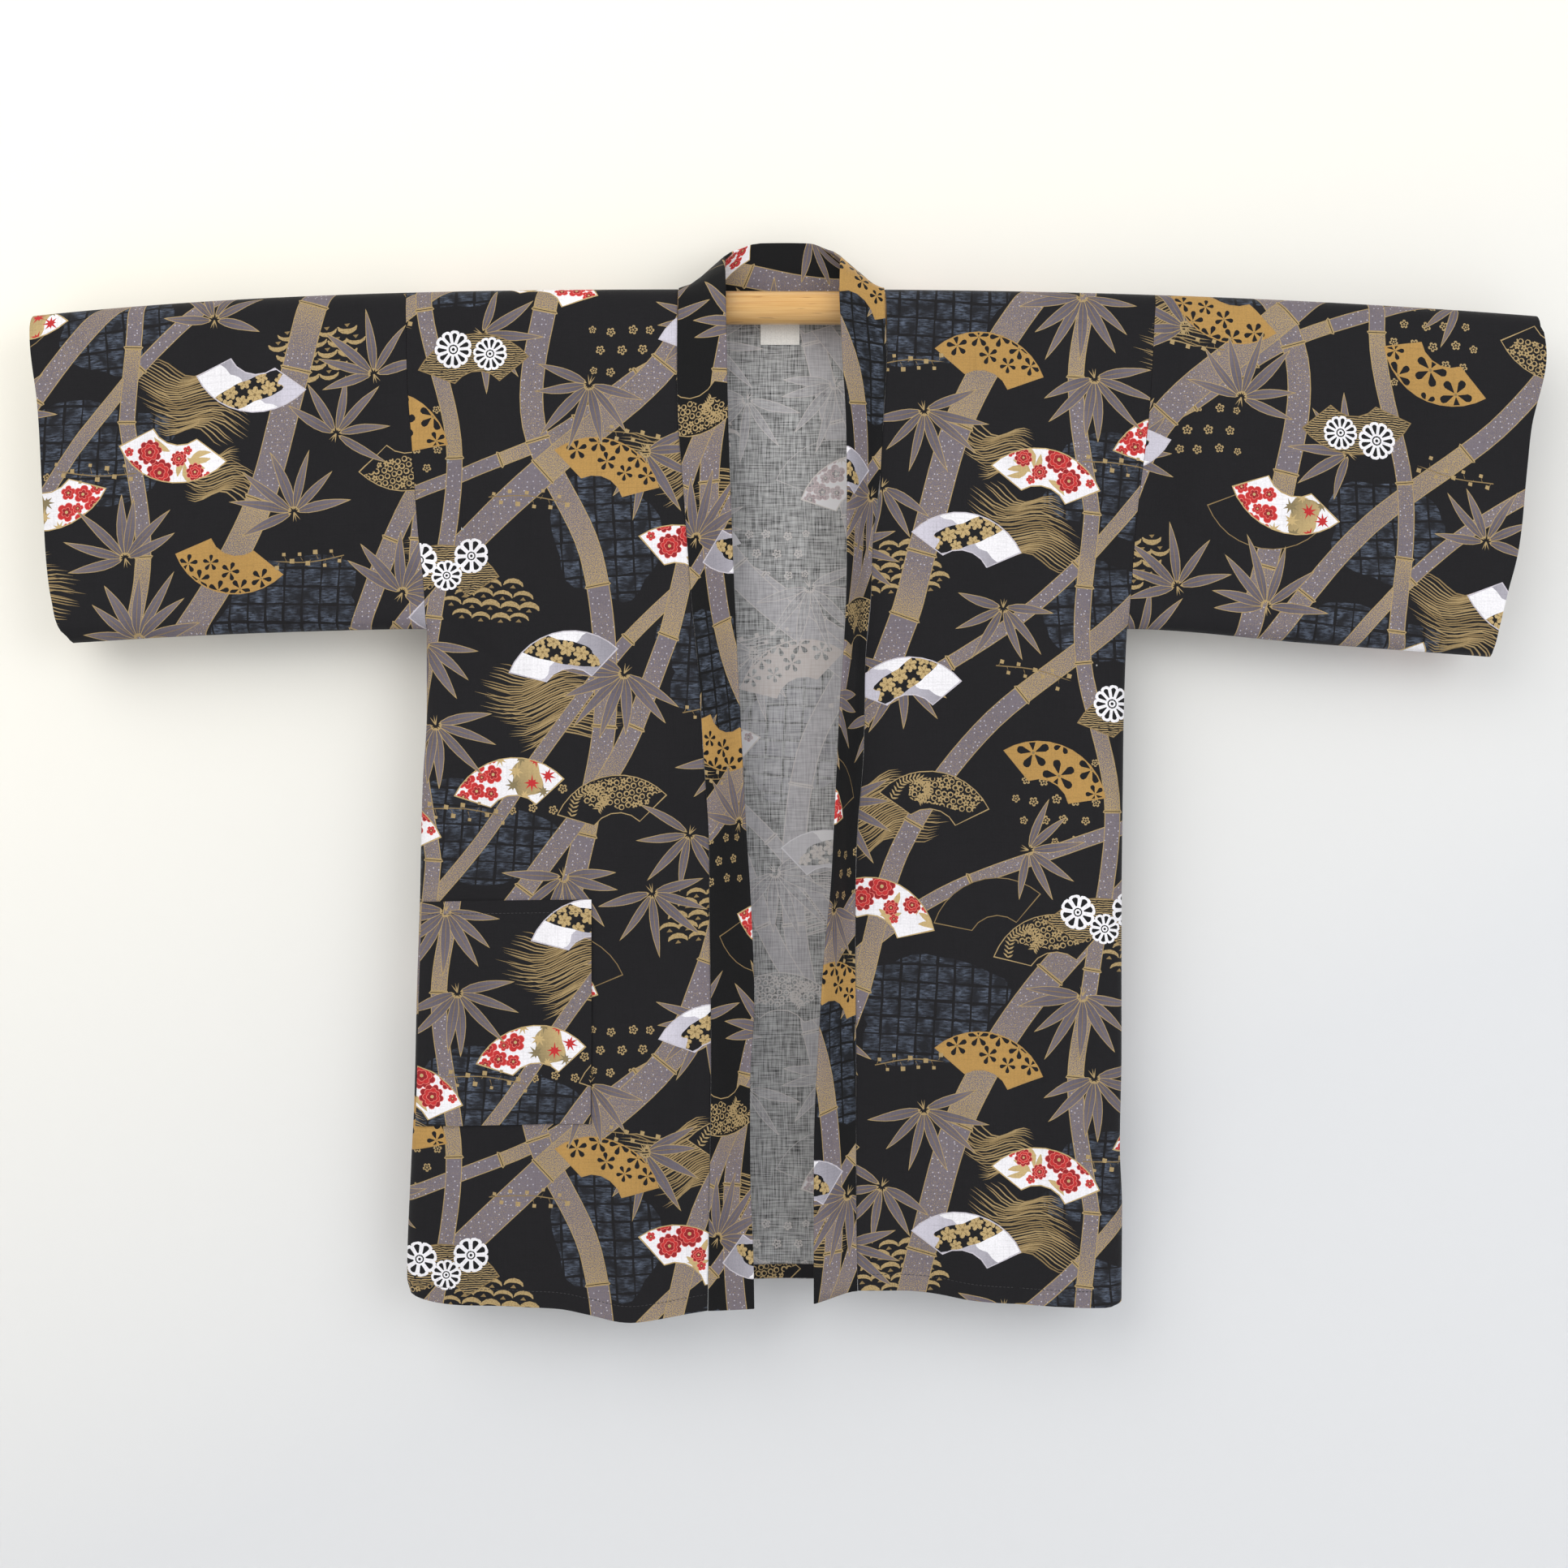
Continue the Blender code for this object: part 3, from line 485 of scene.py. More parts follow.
def body_flat(right_rows, right_shift, left_rows, left_shift, hem_rows, rails):
    """A front or the back between two upright edges, with rails beside its rounded sides."""
    right_x, right_s = corner(right_rows, right_shift, hem_rows)
    left_x, left_s = corner(left_rows, left_shift, hem_rows)
    hem = level_line(hem_rows, right_x, left_x, 0)
    right = edge_line(right_rows, right_shift, 0, right_s)
    left = edge_line(left_rows, left_shift, left_s, 0)
    top = np.column_stack((np.linspace(left[-1, 0], right[0, 0], 40), np.zeros(40)))
    outline = np.vstack([right, hem[1:-1], left, top[1:-1]])
    lines = grid_lines(outline, levels=hanging_levels(outline[:, 1].max()))
    for inset in EDGE_RAILS:
        if "right" in rails:
            lines.append(edge_line(right_rows, right_shift + inset, 0, right_s, GRID_STEP))
        if "left" in rails:
            lines.append(edge_line(left_rows, left_shift - inset, 0, left_s, GRID_STEP))
    for lift in (FRONT_HEM_STITCH - 1.5 * MM, FRONT_HEM_STITCH, FRONT_HEM_STITCH + 1.5 * MM):
        lines.append(level_line(hem_rows, right_x, left_x, lift, step=GRID_STEP))
    return Flat(outline, lines)


def sleeve_flat(right):
    """The sleeve's one piece of cloth, from the back's bottom edge over the pole to the front's."""
    cuff_rows, arm_rows = (RIGHT_CUFF, RIGHT_SIDE) if right else (LEFT_CUFF, LEFT_SIDE)
    sign = -1 if right else 1
    arm_shift = sign * SEAM_GAP / 2
    cuff_x, cuff_s = corner(cuff_rows, 0, SLEEVE_BOTTOM)
    arm_s = float(drop_below(along(arm_rows, UNDERARM_Z), UNDERARM_Z))
    arm_x = float(edge_x(arm_rows, arm_s, arm_shift))
    cuff = edge_line(cuff_rows, 0, -cuff_s, cuff_s)
    front = level_line(SLEEVE_BOTTOM, cuff_x, arm_x, 0)
    arm = edge_line(arm_rows, arm_shift, arm_s, -arm_s)
    back = level_line(SLEEVE_BOTTOM, arm_x, cuff_x, 0, sign=-1)
    outline = np.vstack([cuff, front[1:-1], arm, back[1:-1]])
    levels = hanging_levels(outline[:, 1].max())
    lines = grid_lines(outline, levels=[-s for s in levels] + [0] + levels)
    for inset in EDGE_RAILS:
        lines += [level_line(SLEEVE_BOTTOM, cuff_x, arm_x, inset, part, GRID_STEP) for part in (1, -1)]
    for inset in (1.2 * MM, 2.4 * MM, 4.5 * MM):
        lines.append(edge_line(arm_rows, arm_shift + sign * inset, -arm_s, arm_s, GRID_STEP))
    return Flat(outline, lines)


def box_flat(low, high, step):
    corners = [(low[0], low[1]), (low[0], high[1]), (high[0], high[1]), (high[0], low[1])]
    points = []
    for start, end in zip(corners, corners[1:] + corners[:1]):
        count = max(1, round(math.dist(start, end) / EDGE_STEP))
        points += [tuple(np.array(start) + (np.array(end) - np.array(start)) * k / count)
            for k in range(count)]
    outline = np.array(points)
    return Flat(outline, grid_lines(outline, step, step))


# Printing inks: display colours made linear
def rgb(red, green, blue):
    values = np.array([red, green, blue]) / 255
    return np.where(values <= 0.04045, values / 12.92, ((values + 0.055) / 1.055) ** 2.4)


BLACK = rgb(23, 22, 25)
BAND_BLACK = rgb(12, 12, 14)
MAUVE = rgb(116, 108, 116)
MAUVE_DARK = rgb(92, 86, 95)
GOLD = rgb(174, 150, 106)
GOLD_DARK = rgb(138, 116, 78)
TAN = rgb(178, 139, 78)
WHITE = rgb(238, 236, 240)
LILAC = rgb(206, 202, 214)
GREY = rgb(150, 147, 156)
RED = rgb(192, 48, 50)
RED_DARK = rgb(150, 34, 40)
ROSE = rgb(226, 120, 110)
SAND = rgb(196, 170, 120)
OLIVE = rgb(134, 120, 88)
SLATE = rgb(96, 106, 124)

# How an ink lies on the cloth; the mesh stores this with the share of gold dust as one number
NO_INK, FLAT_INK, GOLD_INK, CULM_INK, BRUSHED_INK, HATCHED_INK, MOTTLED_INK = -1, 0, 1, 2, 3, 4, 5
DUST_SCALE = 0.9


class Ink(NamedTuple):
    """One printed shape: its points, its colour at each end of a line across it, and how it lies."""
    points: np.ndarray
    start: np.ndarray
    end: np.ndarray
    line: np.ndarray
    kind: int
    dust: tuple
    within: int


# The repeat of the print, in painting order, and the dice for its unevenness
SHAPES = []
PRINT_DICE = random.Random(11)


def paint(points, start, end=None, line=((0, 0), (1, 0)), kind=FLAT_INK, dust=(0.0, 0.0), within=-1):
    """Adds a shape to the repeat and returns its number."""
    end = start if end is None else end
    SHAPES.append(Ink(np.asarray(points, float), start, end, np.array(line, float), kind, dust, within))
    return len(SHAPES) - 1


def gild(points, tone=GOLD, within=-1):
    paint(points, tone, kind=GOLD_INK, within=within)


def mask(points, within=-1):
    return paint(points, BLACK, kind=NO_INK, within=within)


# Drawing shapes, in millimetres
def turned(points, degrees, at=(0, 0)):
    angle = math.radians(degrees)
    x, y = np.asarray(points, float).T
    cos, sin = math.cos(angle), math.sin(angle)
    return np.column_stack((x * cos - y * sin + at[0], x * sin + y * cos + at[1]))


def polar(radii, degrees=0, at=(0, 0)):
    """A closed outline from radii at even angles."""
    angles = np.linspace(0, 2 * math.pi, len(radii), endpoint=False)
    radii = np.asarray(radii)
    return turned(np.column_stack((radii * np.cos(angles), radii * np.sin(angles))), degrees, at)


def disc(at, radius, count=8):
    return polar([radius] * count, 20, at)


def curve(points, count):
    """Even steps along a smooth curve through points."""
    points = np.asarray(points, float)
    ends = np.vstack([2 * points[0] - points[1], points, 2 * points[-1] - points[-2]])
    t = np.linspace(0, len(points) - 1, count)
    index = np.minimum(t.astype(int), len(points) - 2)
    u = (t - index)[:, None]
    p0, p1, p2, p3 = ends[index], ends[index + 1], ends[index + 2], ends[index + 3]
    return 0.5 * (2 * p1 + (p2 - p0) * u + (2 * p0 - 5 * p1 + 4 * p2 - p3) * u**2
        + (3 * p1 - p0 - 3 * p2 + p3) * u**3)


def ribbon(centre, half):
    """An outline along a centre line with a half width at each point; a half width of 0 is a tip."""
    centre = np.asarray(centre, float)
    half = np.broadcast_to(half, len(centre))
    ahead = unit(np.gradient(centre, axis=0))
    beside = np.column_stack((-ahead[:, 1], ahead[:, 0]))
    one = centre + beside * half[:, None]
    other = centre - beside * half[:, None]
    keep = half > 1e-6
    return np.vstack([one, other[keep][::-1]])


def spoke(radius, shares):
    """A centre line outward from the middle of a motif."""
    return [(radius * share, 0) for share in shares]


def lobed(radius, lobes, depth, per_lobe=5):
    """A round outline with petals."""
    count = lobes * per_lobe
    t = np.arange(count) * lobes / count * math.pi
    return radius * (1 - depth + depth * np.abs(np.sin(t)) ** 0.6)


def cloud(centre, size, bumps, degrees=0, seed=1):
    """A patch with soft uneven bumps."""
    dice = random.Random(seed)
    count = bumps * 4
    angles = np.linspace(0, 2 * math.pi, count, endpoint=False)
    waves = sum(dice.uniform(0.04, 0.1) * np.sin(k * angles + dice.uniform(0, 6)) for k in range(2, 6))
    radii = 1 + waves + 0.05 * np.abs(np.sin(angles * bumps / 2))
    shape = np.column_stack((radii * np.cos(angles) * size[0], radii * np.sin(angles) * size[1]))
    return turned(shape, degrees, centre)


# Motifs
LEAF_SPREAD = 215
TILE_PITCH = 15.4
TILE = 13.4
SCALLOP_PITCH = (17, 9.5)


def leaf(at, degrees, length, width, bend):
    """A pointed bamboo leaf with a pale gold edge and midrib."""
    t = np.array([0, 0.05, 0.2, 0.36, 0.52, 0.68, 0.82, 0.94, 1])
    spine = np.column_stack((t * length, bend * t**2 * length))
    half = width / 2 * np.sin(math.pi * t**0.72) ** 0.85
    half[0], half[-1] = 0, 0
    gild(turned(ribbon(spine, half), degrees, at))
    inner = slice(1, -1)
    narrow = np.maximum(half[inner] - 0.62, 0.12)
    tip = turned(spine, degrees, at)
    paint(turned(ribbon(spine[inner], narrow), degrees, at), MAUVE_DARK, MAUVE, (tip[0], tip[-1]), CULM_INK)
    gild(turned(ribbon(spine[1:-1][::2], (0.3, 0.3, 0.24, 0.16)), degrees, at), GOLD_DARK)


def leaf_cluster(at, degrees, leaves, size):
    """Leaves that spread from the end of a twig, the side ones shorter."""
    dice = PRINT_DICE
    for k in range(leaves):
        share = (k + 0.5) / leaves - 0.5
        angle = degrees + share * LEAF_SPREAD + dice.uniform(-7, 7)
        length = size * (60 - 26 * abs(share) + dice.uniform(-7, 5))
        start = turned([(2.5, 0)], angle, at)[0]
        leaf(start, angle, length, size * dice.uniform(8.2, 10.4), dice.uniform(-0.12, 0.12))
    for angle in (-24, 2, 21):
        tip = turned([(0, 0), (-9 * size, 0)], degrees + angle, at)
        gild(ribbon(np.vstack([tip[0], tip.mean(0), tip[1]]), (0.5, 0.4, 0.0)))


def culm(points, width, nodes, first_dusty=False):
    """A bamboo stem: between its nodes it shades from mauve into gold dust, with thin gold edges."""
    spine = curve(points, 8 * len(points))
    marks = [0.0, *nodes, 1.0]
    for number, (low, high) in enumerate(zip(marks, marks[1:])):
        first, last = (round(mark * (len(spine) - 1)) for mark in (low, high))
        part = spine[first:last + 1]
        if len(part) < 2:
            continue
        gild(ribbon(part, width / 2))
        dusty = (number % 2 == 0) == first_dusty
        dust = (0.66, 0.1) if dusty else (0.3, 0.02)
        paint(ribbon(part, width / 2 - 0.75), MAUVE, MAUVE, (part[0], part[-1]), CULM_INK, dust)
    for mark in marks[1:]:
        index = round(mark * (len(spine) - 1))
        ahead = spine[min(index + 1, len(spine) - 1)] - spine[max(index - 1, 0)]
        angle = math.degrees(math.atan2(ahead[1], ahead[0]))
        flare = width / 2 + 1.6
        rim = [(-1.8, -width / 2), (-0.9, -flare), (1.6, -width / 2), (1.6, width / 2), (-0.9, flare),
            (-1.8, width / 2)]
        gild(turned(rim, angle, spine[index]))
        gap = [(-0.5, -flare + 1.3), (0.1, -flare + 1.3), (0.1, flare - 1.3), (-0.5, flare - 1.3)]
        paint(turned(gap, angle, spine[index]), BLACK)


def small_blossom(at, radius, degrees):
    """A five-petalled blossom in gold outline."""
    gild(polar(lobed(radius, 5, 0.42, 4), degrees, at))
    paint(polar(lobed(radius * 0.66, 5, 0.5, 3), degrees, at), BLACK)
    gild(disc(at, radius * 0.26, 5))


def blossom_field(centre, size, pitch, seed):
    """Blossoms in staggered rows, fewer and smaller towards the rim."""
    dice = random.Random(seed)
    rows = round(size[1] * 2 / pitch)
    for row in range(rows + 1):
        y = -size[1] + row * pitch
        for column in range(round(size[0] * 2 / pitch) + 1):
            x = -size[0] + (column + 0.5 * (row % 2)) * pitch
            reach = math.hypot(x / size[0], y / size[1])
            if reach < 1:
                at = (centre[0] + x + dice.uniform(-1.5, 1.5), centre[1] + y + dice.uniform(-1.5, 1.5))
                small_blossom(at, 4.3 - 1.2 * reach**3, dice.uniform(0, 72))


def check_patch(centre, size, degrees, seed):
    """Brushed tiles, cut off by an uneven patch."""
    dice = random.Random(seed)
    patch = mask(cloud(centre, size, 9, seed=seed))
    reach = math.ceil(max(size) * 1.25 / TILE_PITCH)
    for row in range(-reach, reach + 1):
        for column in range(-reach, reach + 1):
            middle = turned([(column * TILE_PITCH, row * TILE_PITCH)], degrees, centre)[0]
            if math.hypot((middle[0] - centre[0]) / size[0], (middle[1] - centre[1]) / size[1]) > 1.3:
                continue
            half = TILE / 2
            spots = [(-half, -half), (half, -half), (half, half), (-half, half)]
            spots = [(x + dice.uniform(-0.7, 0.7), y + dice.uniform(-0.7, 0.7)) for x, y in spots]
            paint(turned(spots, degrees, middle), SLATE, SLATE * dice.uniform(0.5, 1.0),
                (middle - half, middle + half), BRUSHED_INK, (dice.random(), dice.random()), patch)


def grass_patch(centre, length, strands, degrees, seed):
    """Fine gold strands that flow together in a wave."""
    dice = random.Random(seed)
    for k in range(strands):
        share = k / (strands - 1) - 0.5
        t = np.linspace(0, 1, 9)
        reach = length * (1 - 1.1 * share**2) * dice.uniform(0.75, 1.0)
        x = (t - 0.5) * reach + 13 * math.sin(5 * share)
        y = share * strands * 1.9 + 7 * np.sin(2.2 * math.pi * t + 3.2 * share) * (1 - 0.35 * t)
        half = 0.62 * np.sin(math.pi * np.clip(t * 0.96 + 0.02, 0, 1)) ** 0.5
        half[0], half[-1] = 0, 0
        tone = GOLD_DARK + (GOLD - GOLD_DARK) * dice.random()
        gild(turned(ribbon(np.column_stack((x, y)), half), degrees, centre), tone)


def berry_twig(at, degrees, length, seed):
    """A twig set with small gold buds."""
    dice = random.Random(seed)
    line = turned(curve([(0, 0), (length * 0.5, -3), (length, 1)], 7), degrees, at)
    gild(ribbon(line, (0.45,) * 6 + (0.0,)), GOLD_DARK)
    buds = round(length / 7)
    for k in range(buds):
        x = length * (k + 0.6) / buds
        y = (4.2 if k % 2 else -4.6) + dice.uniform(-1.6, 1.6)
        size = dice.uniform(1.3, 2.1)
        spot = [(x - size, y - size), (x + size, y - size * 0.8), (x + size * 0.9, y + size),
            (x - size, y + size)]
        gild(turned(spot, degrees + dice.uniform(-4, 4), at))
        stem = [(x, y), (x - 2.5, -1.0), (x - 1.9, -1.0)]
        gild(turned(stem, degrees, at), GOLD_DARK)


def scallop_patch(centre, columns, rows, degrees):
    """Rows of brushed scallops, like pine bark."""
    dice = PRINT_DICE
    for row in range(rows):
        shift = 8.5 * (row % 2)
        for column in range(columns):
            x = (column - columns / 2) * SCALLOP_PITCH[0] + shift + dice.uniform(-1.5, 1.5)
            y = (row - rows / 2) * SCALLOP_PITCH[1] + dice.uniform(-1, 1)
            if abs(x) / (columns * 8.5) + abs(y) / (rows * 6.5) > 1.15:
                continue
            angles = np.linspace(0.15, math.pi - 0.15, 7)
            arc = np.column_stack((x + 8.4 * np.cos(angles), y - 5.4 * np.sin(angles)))
            wide = np.array([0.5, 1.5, 2.0, 2.3, 1.9, 1.4, 0.4]) * dice.uniform(0.7, 1.1)
            paint(turned(ribbon(arc, wide), degrees, centre), GOLD, kind=MOTTLED_INK, dust=(0.8, 0.8))
            drop = [(x - 2.6, y + 1.4), (x, y - 1.6), (x + 2.4, y + 1.2)]
            paint(turned(drop, degrees, centre), GOLD_DARK, kind=MOTTLED_INK, dust=(0.8, 0.8))


FAN_RADIUS = 58
FAN_THROAT = 25
FAN_HALF_ANGLE = 56
FAN_EDGE = 1.0
FAN_SHADE = 40


def fan_shape(at, degrees, rim=0.0, end=0.0):
    """A folding fan's paper, opening upwards, less a rim in millimetres and its ends in degrees."""
    radius, throat, half_angle = FAN_RADIUS - rim, FAN_THROAT + rim, FAN_HALF_ANGLE - end
    outer = np.radians(np.linspace(-half_angle, half_angle, 12))
    inner = outer[::-1][::2]
    middle = (radius + throat) / 2
    upper = np.column_stack((radius * np.sin(outer), middle - radius * np.cos(outer)))
    lower = np.column_stack((throat * np.sin(inner), middle - throat * np.cos(inner)))
    return turned(np.vstack([upper, lower]), degrees, at)


def fan(at, degrees, face, edge, kind=FLAT_INK, end=None, dust=(0.0, 0.0)):
    """A fan's edge and face; what is painted on it stays within the face."""
    gild(fan_shape(at, degrees), edge)
    line = turned([(-FAN_SHADE, 0), (FAN_SHADE, 0)], degrees, at)
    return paint(fan_shape(at, degrees, FAN_EDGE, 1.4), face, end, line, kind, dust)


def shadow_fan(at, degrees):
    """A fan drawn as one thin line."""
    gild(fan_shape(at, degrees), GOLD_DARK)
    paint(fan_shape(at, degrees, 0.7, 1.0), BLACK)


def plum(at, radius, degrees, within):
    """A plum blossom with five round petals, a pale line round each and a ring of stamens."""
    for size, depth, count, colour in ((radius, 0.3, 5, ROSE), (radius - 0.5, 0.34, 5, RED),
            (radius * 0.56, 0.4, 4, ROSE), (radius * 0.48, 0.4, 4, RED_DARK)):
        paint(polar(lobed(size, 5, depth, count), degrees, at), colour, within=within)
    paint(disc(at, radius * 0.17, 6), SAND, within=within)


def peony(at, radius, degrees, within):
    """A full blossom in three rings of frilled petals."""
    for ring, (share, lobes) in enumerate(((1.0, 9), (0.72, 7), (0.44, 5))):
        turn = degrees + 17 * ring
        paint(polar(lobed(radius * share, lobes, 0.2, 4), turn, at), ROSE, within=within)
        paint(polar(lobed(radius * share - 0.55, lobes, 0.22, 4), turn, at), RED if ring % 2 else RED_DARK,
            within=within)
    paint(disc(at, radius * 0.14, 6), SAND, within=within)


def maple(at, radius, degrees, within, colour):
    """A maple leaf with seven points."""
    points = []
    for k, length in enumerate((0.55, 0.85, 0.95, 1.0, 0.95, 0.85, 0.55)):
        angle = math.radians(-130 + k * 260 / 6)
        points.append((radius * length * math.cos(angle), radius * length * math.sin(angle)))
        if k < 6:
            angle += math.radians(260 / 12)
            points.append((radius * 0.36 * math.cos(angle), radius * 0.36 * math.sin(angle)))
    points += [(-radius * 0.25, radius * 0.12), (-radius * 0.9, 0), (-radius * 0.25, -radius * 0.12)]
    paint(turned(points, degrees, at), colour, within=within)


def rayed(at, radius, petals, degrees):
    """A chrysanthemum with long round-ended petals, each with a dark heart."""
    width = radius * math.sin(math.pi / petals) * 0.93
    for k in range(petals):
        turn = degrees + 360 * k / petals
        half = np.array([0.25, 0.62, 0.98, 0.86, 0.42]) * width
        paint(turned(ribbon(spoke(radius, (0.2, 0.5, 0.78, 0.93, 1)), half), turn, at), WHITE)
        half = np.array([0.1, 0.38, 0.5, 0.2]) * width
        paint(turned(ribbon(spoke(radius, (0.36, 0.62, 0.78, 0.86)), half), turn, at), BLACK)
    for share, count, colour in ((0.26, 10, BLACK), (0.19, 8, WHITE), (0.09, 6, BLACK)):
        paint(disc(at, radius * share, count), colour)


def cut_blossom(at, radius, degrees, within):
    """A blossom cut out of the fan: five dark drops round a dot."""
    for k in range(5):
        half = np.array([0.02, 0.14, 0.24, 0.2, 0.09]) * radius
        drop = ribbon(spoke(radius, (0.16, 0.45, 0.72, 0.92, 1)), half)
        paint(turned(drop, degrees + 72 * k, at), BLACK, within=within)
    paint(disc(at, radius * 0.1, 6), GOLD_DARK, within=within)


def gold_daisy(at, radius, degrees, within):
    """A small chrysanthemum drawn in gold on a dark ground."""
    radii = radius * (0.62 + 0.38 * np.abs(np.cos(np.arange(24) * math.pi / 4 + 0.01)))
    gild(polar(radii, degrees, at), SAND, within)
    for k in range(6):
        line = ribbon(spoke(radius, (0.3, 0.62, 0.95)), (0.25, 0.35, 0.2))
        paint(turned(line, degrees + 15 + 60 * k, at), GOLD_DARK, within=within)
    paint(disc(at, radius * 0.2, 6), GOLD_DARK, within=within)


def places_on(at, degrees, mirror=1):
    """Gives places on a fan from its middle, turned over where mirror is -1."""
    return lambda x, y: turned([(mirror * x, y)], degrees, at)[0]


def plum_fan(at, degrees, mirror=1):
    face = fan(at, degrees, WHITE, SAND)
    spot = places_on(at, degrees, mirror)
    paint(turned(cloud((-mirror * 17, 2), (13, 17), 6, seed=5), degrees, at), SAND, OLIVE,
        (spot(-30, 0), spot(0, 10)), within=face)
    for x, y, size, tone in ((-34, 4, 8, RED), (-26, -10, 7, RED), (-14, -14, 8, OLIVE), (-20, 8, 8, RED),
            (-8, -4, 8, SAND), (-29, 17, 7, OLIVE), (-4, 8, 8, OLIVE), (4, -16, 7, SAND),
            (-12, 18, 6, SAND)):
        maple(spot(x, y), size, degrees + 31 * x, face, tone)
    for x, y, size in ((12, -4, 8.5), (24, -15, 8), (36, -3, 8.5), (28, 8, 8), (16, 12, 6.5),
            (12, -18, 5.5), (40, 11, 6), (22, -3, 5)):
        plum(spot(x, y), size, degrees + 13 * x, face)


def peony_fan(at, degrees, mirror=1):
    face = fan(at, degrees, WHITE, SAND)
    spot = places_on(at, degrees, mirror)
    for x, y, turn in ((-30, 0, 20), (-20, -14, 60), (-33, 9, -10), (-8, -10, 100), (-16, 6, 150),
            (3, 10, 30)):
        spine = curve([(0, 0), (9, -1.5), (19, 1)], 5)
        paint(turned(ribbon(spine, (0.4, 2.2, 2.8, 1.8, 0.0)), degrees + turn, spot(x, y)), SAND,
            within=face)
    for x, y, size in ((-22, -4, 8), (8, -9, 12), (20, 7, 11), (32, -10, 9), (-6, 5, 7)):
        peony(spot(x, y), size, degrees + 19 * x, face)
    for x, y in ((-34, -6), (-12, 13), (38, 5), (22, -20)):
        plum(spot(x, y), 4.2, degrees + x, face)


def cut_fan(at, degrees, seed):
    face = fan(at, degrees, TAN, TAN, kind=MOTTLED_INK, dust=(0.25, 0.25))
    layouts = (((-24, 0, 14), (4, 9, 14), (27, -8, 12), (-4, -18, 9), (38, 10, 8)),
        ((-30, 2, 9), (-14, -10, 9), (4, -15, 9), (22, -9, 9), (35, 3, 8), (-2, 3, 8), (16, 7, 7)))
    for x, y, size in layouts[seed % 2]:
        cut_blossom(turned([(x, y)], degrees, at)[0], size, degrees + 23 * x, face)


def cloud_fan(at, degrees, mirror=1):
    """White and lilac clouds with a band of gold chrysanthemums between them."""
    face = fan(at, degrees, LILAC, LILAC, end=GREY)
    spot = places_on(at, degrees, mirror)
    paint(turned(cloud((mirror * 28, 2), (22, 16), 9, seed=8), degrees, at), WHITE, within=face)
    paint(turned(cloud((-mirror * 8, -16), (17, 12), 9, seed=9), degrees, at), WHITE, within=face)
    band = paint(turned(cloud((mirror * 2, 0), (33, 11), 11, -28 * mirror, seed=10), degrees, at), BLACK,
        within=face)
    for x, y, size in ((-26, 14, 6.5), (-16, 6, 7), (-8, 14, 5.5), (-5, -1, 7.5), (6, 8, 6), (5, -9, 6.5),
            (16, -2, 6.5), (17, -14, 7), (27, -8, 5.5), (29, -19, 6)):
        gold_daisy(spot(x, y), size, degrees + 7 * x, band)


def hatched_fan(at, degrees, blossoms):
    """Gold hatching on black under large white chrysanthemums."""
    fan(at, degrees, GOLD, GOLD_DARK, kind=HATCHED_INK, dust=(0.5, 0.5))
    for x, y, size, petals in blossoms:
        rayed(turned([(x, y)], degrees, at)[0], size, petals, degrees + 11 * x)


def scroll_fan(at, degrees, seed):
    """A fan filled with curling gold line work."""
    dice = random.Random(seed)
    gild(fan_shape(at, degrees))
    face = paint(fan_shape(at, degrees, 0.8, 1.1), BLACK)
    patch = mask(turned(cloud((12, 0), (34, 14), 9, seed=seed), degrees, at), face)
    for row in range(6):
        for column in range(16):
            x = -40 + column * 5.6 + 2.8 * (row % 2) + dice.uniform(-0.7, 0.7)
            y = -15 + row * 5.4 + dice.uniform(-0.7, 0.7)
            spot = turned([(x, y)], degrees, at)[0]
            if dice.random() < 0.34:
                gild(polar(lobed(3.0, 5, 0.45, 3), dice.uniform(0, 72), spot), within=patch)
                paint(disc(spot, 0.8, 4), BLACK, within=patch)
            else:
                gild(disc(spot, 2.7, 7), within=patch)
                paint(disc(spot + 0.25, 1.7, 6), BLACK, within=patch)
    feather = curve([(-36, 12), (-28, -4), (-14, -8), (-6, 2), (-12, 10)], 22)
    for spot, ahead in zip(feather, np.gradient(feather, axis=0)):
        angle = math.degrees(math.atan2(ahead[1], ahead[0]))
        for side in (55, -55):
            quill = [(0, 0), (2.6, 0.3), (5.4, 0)]
            gild(turned(turned(ribbon(quill, (0.5, 0.8, 0.0)), angle + side, spot), degrees, at),
                within=face)


# The repeat, in millimetres, and where its corner lies on the small pieces
REPEAT = (400.0, 600.0)
BAND_PRINT_AT = (70, 210)
POCKET_PRINT_AT = (-86, 118)
HEM_PRINT_AT = (10, 300)


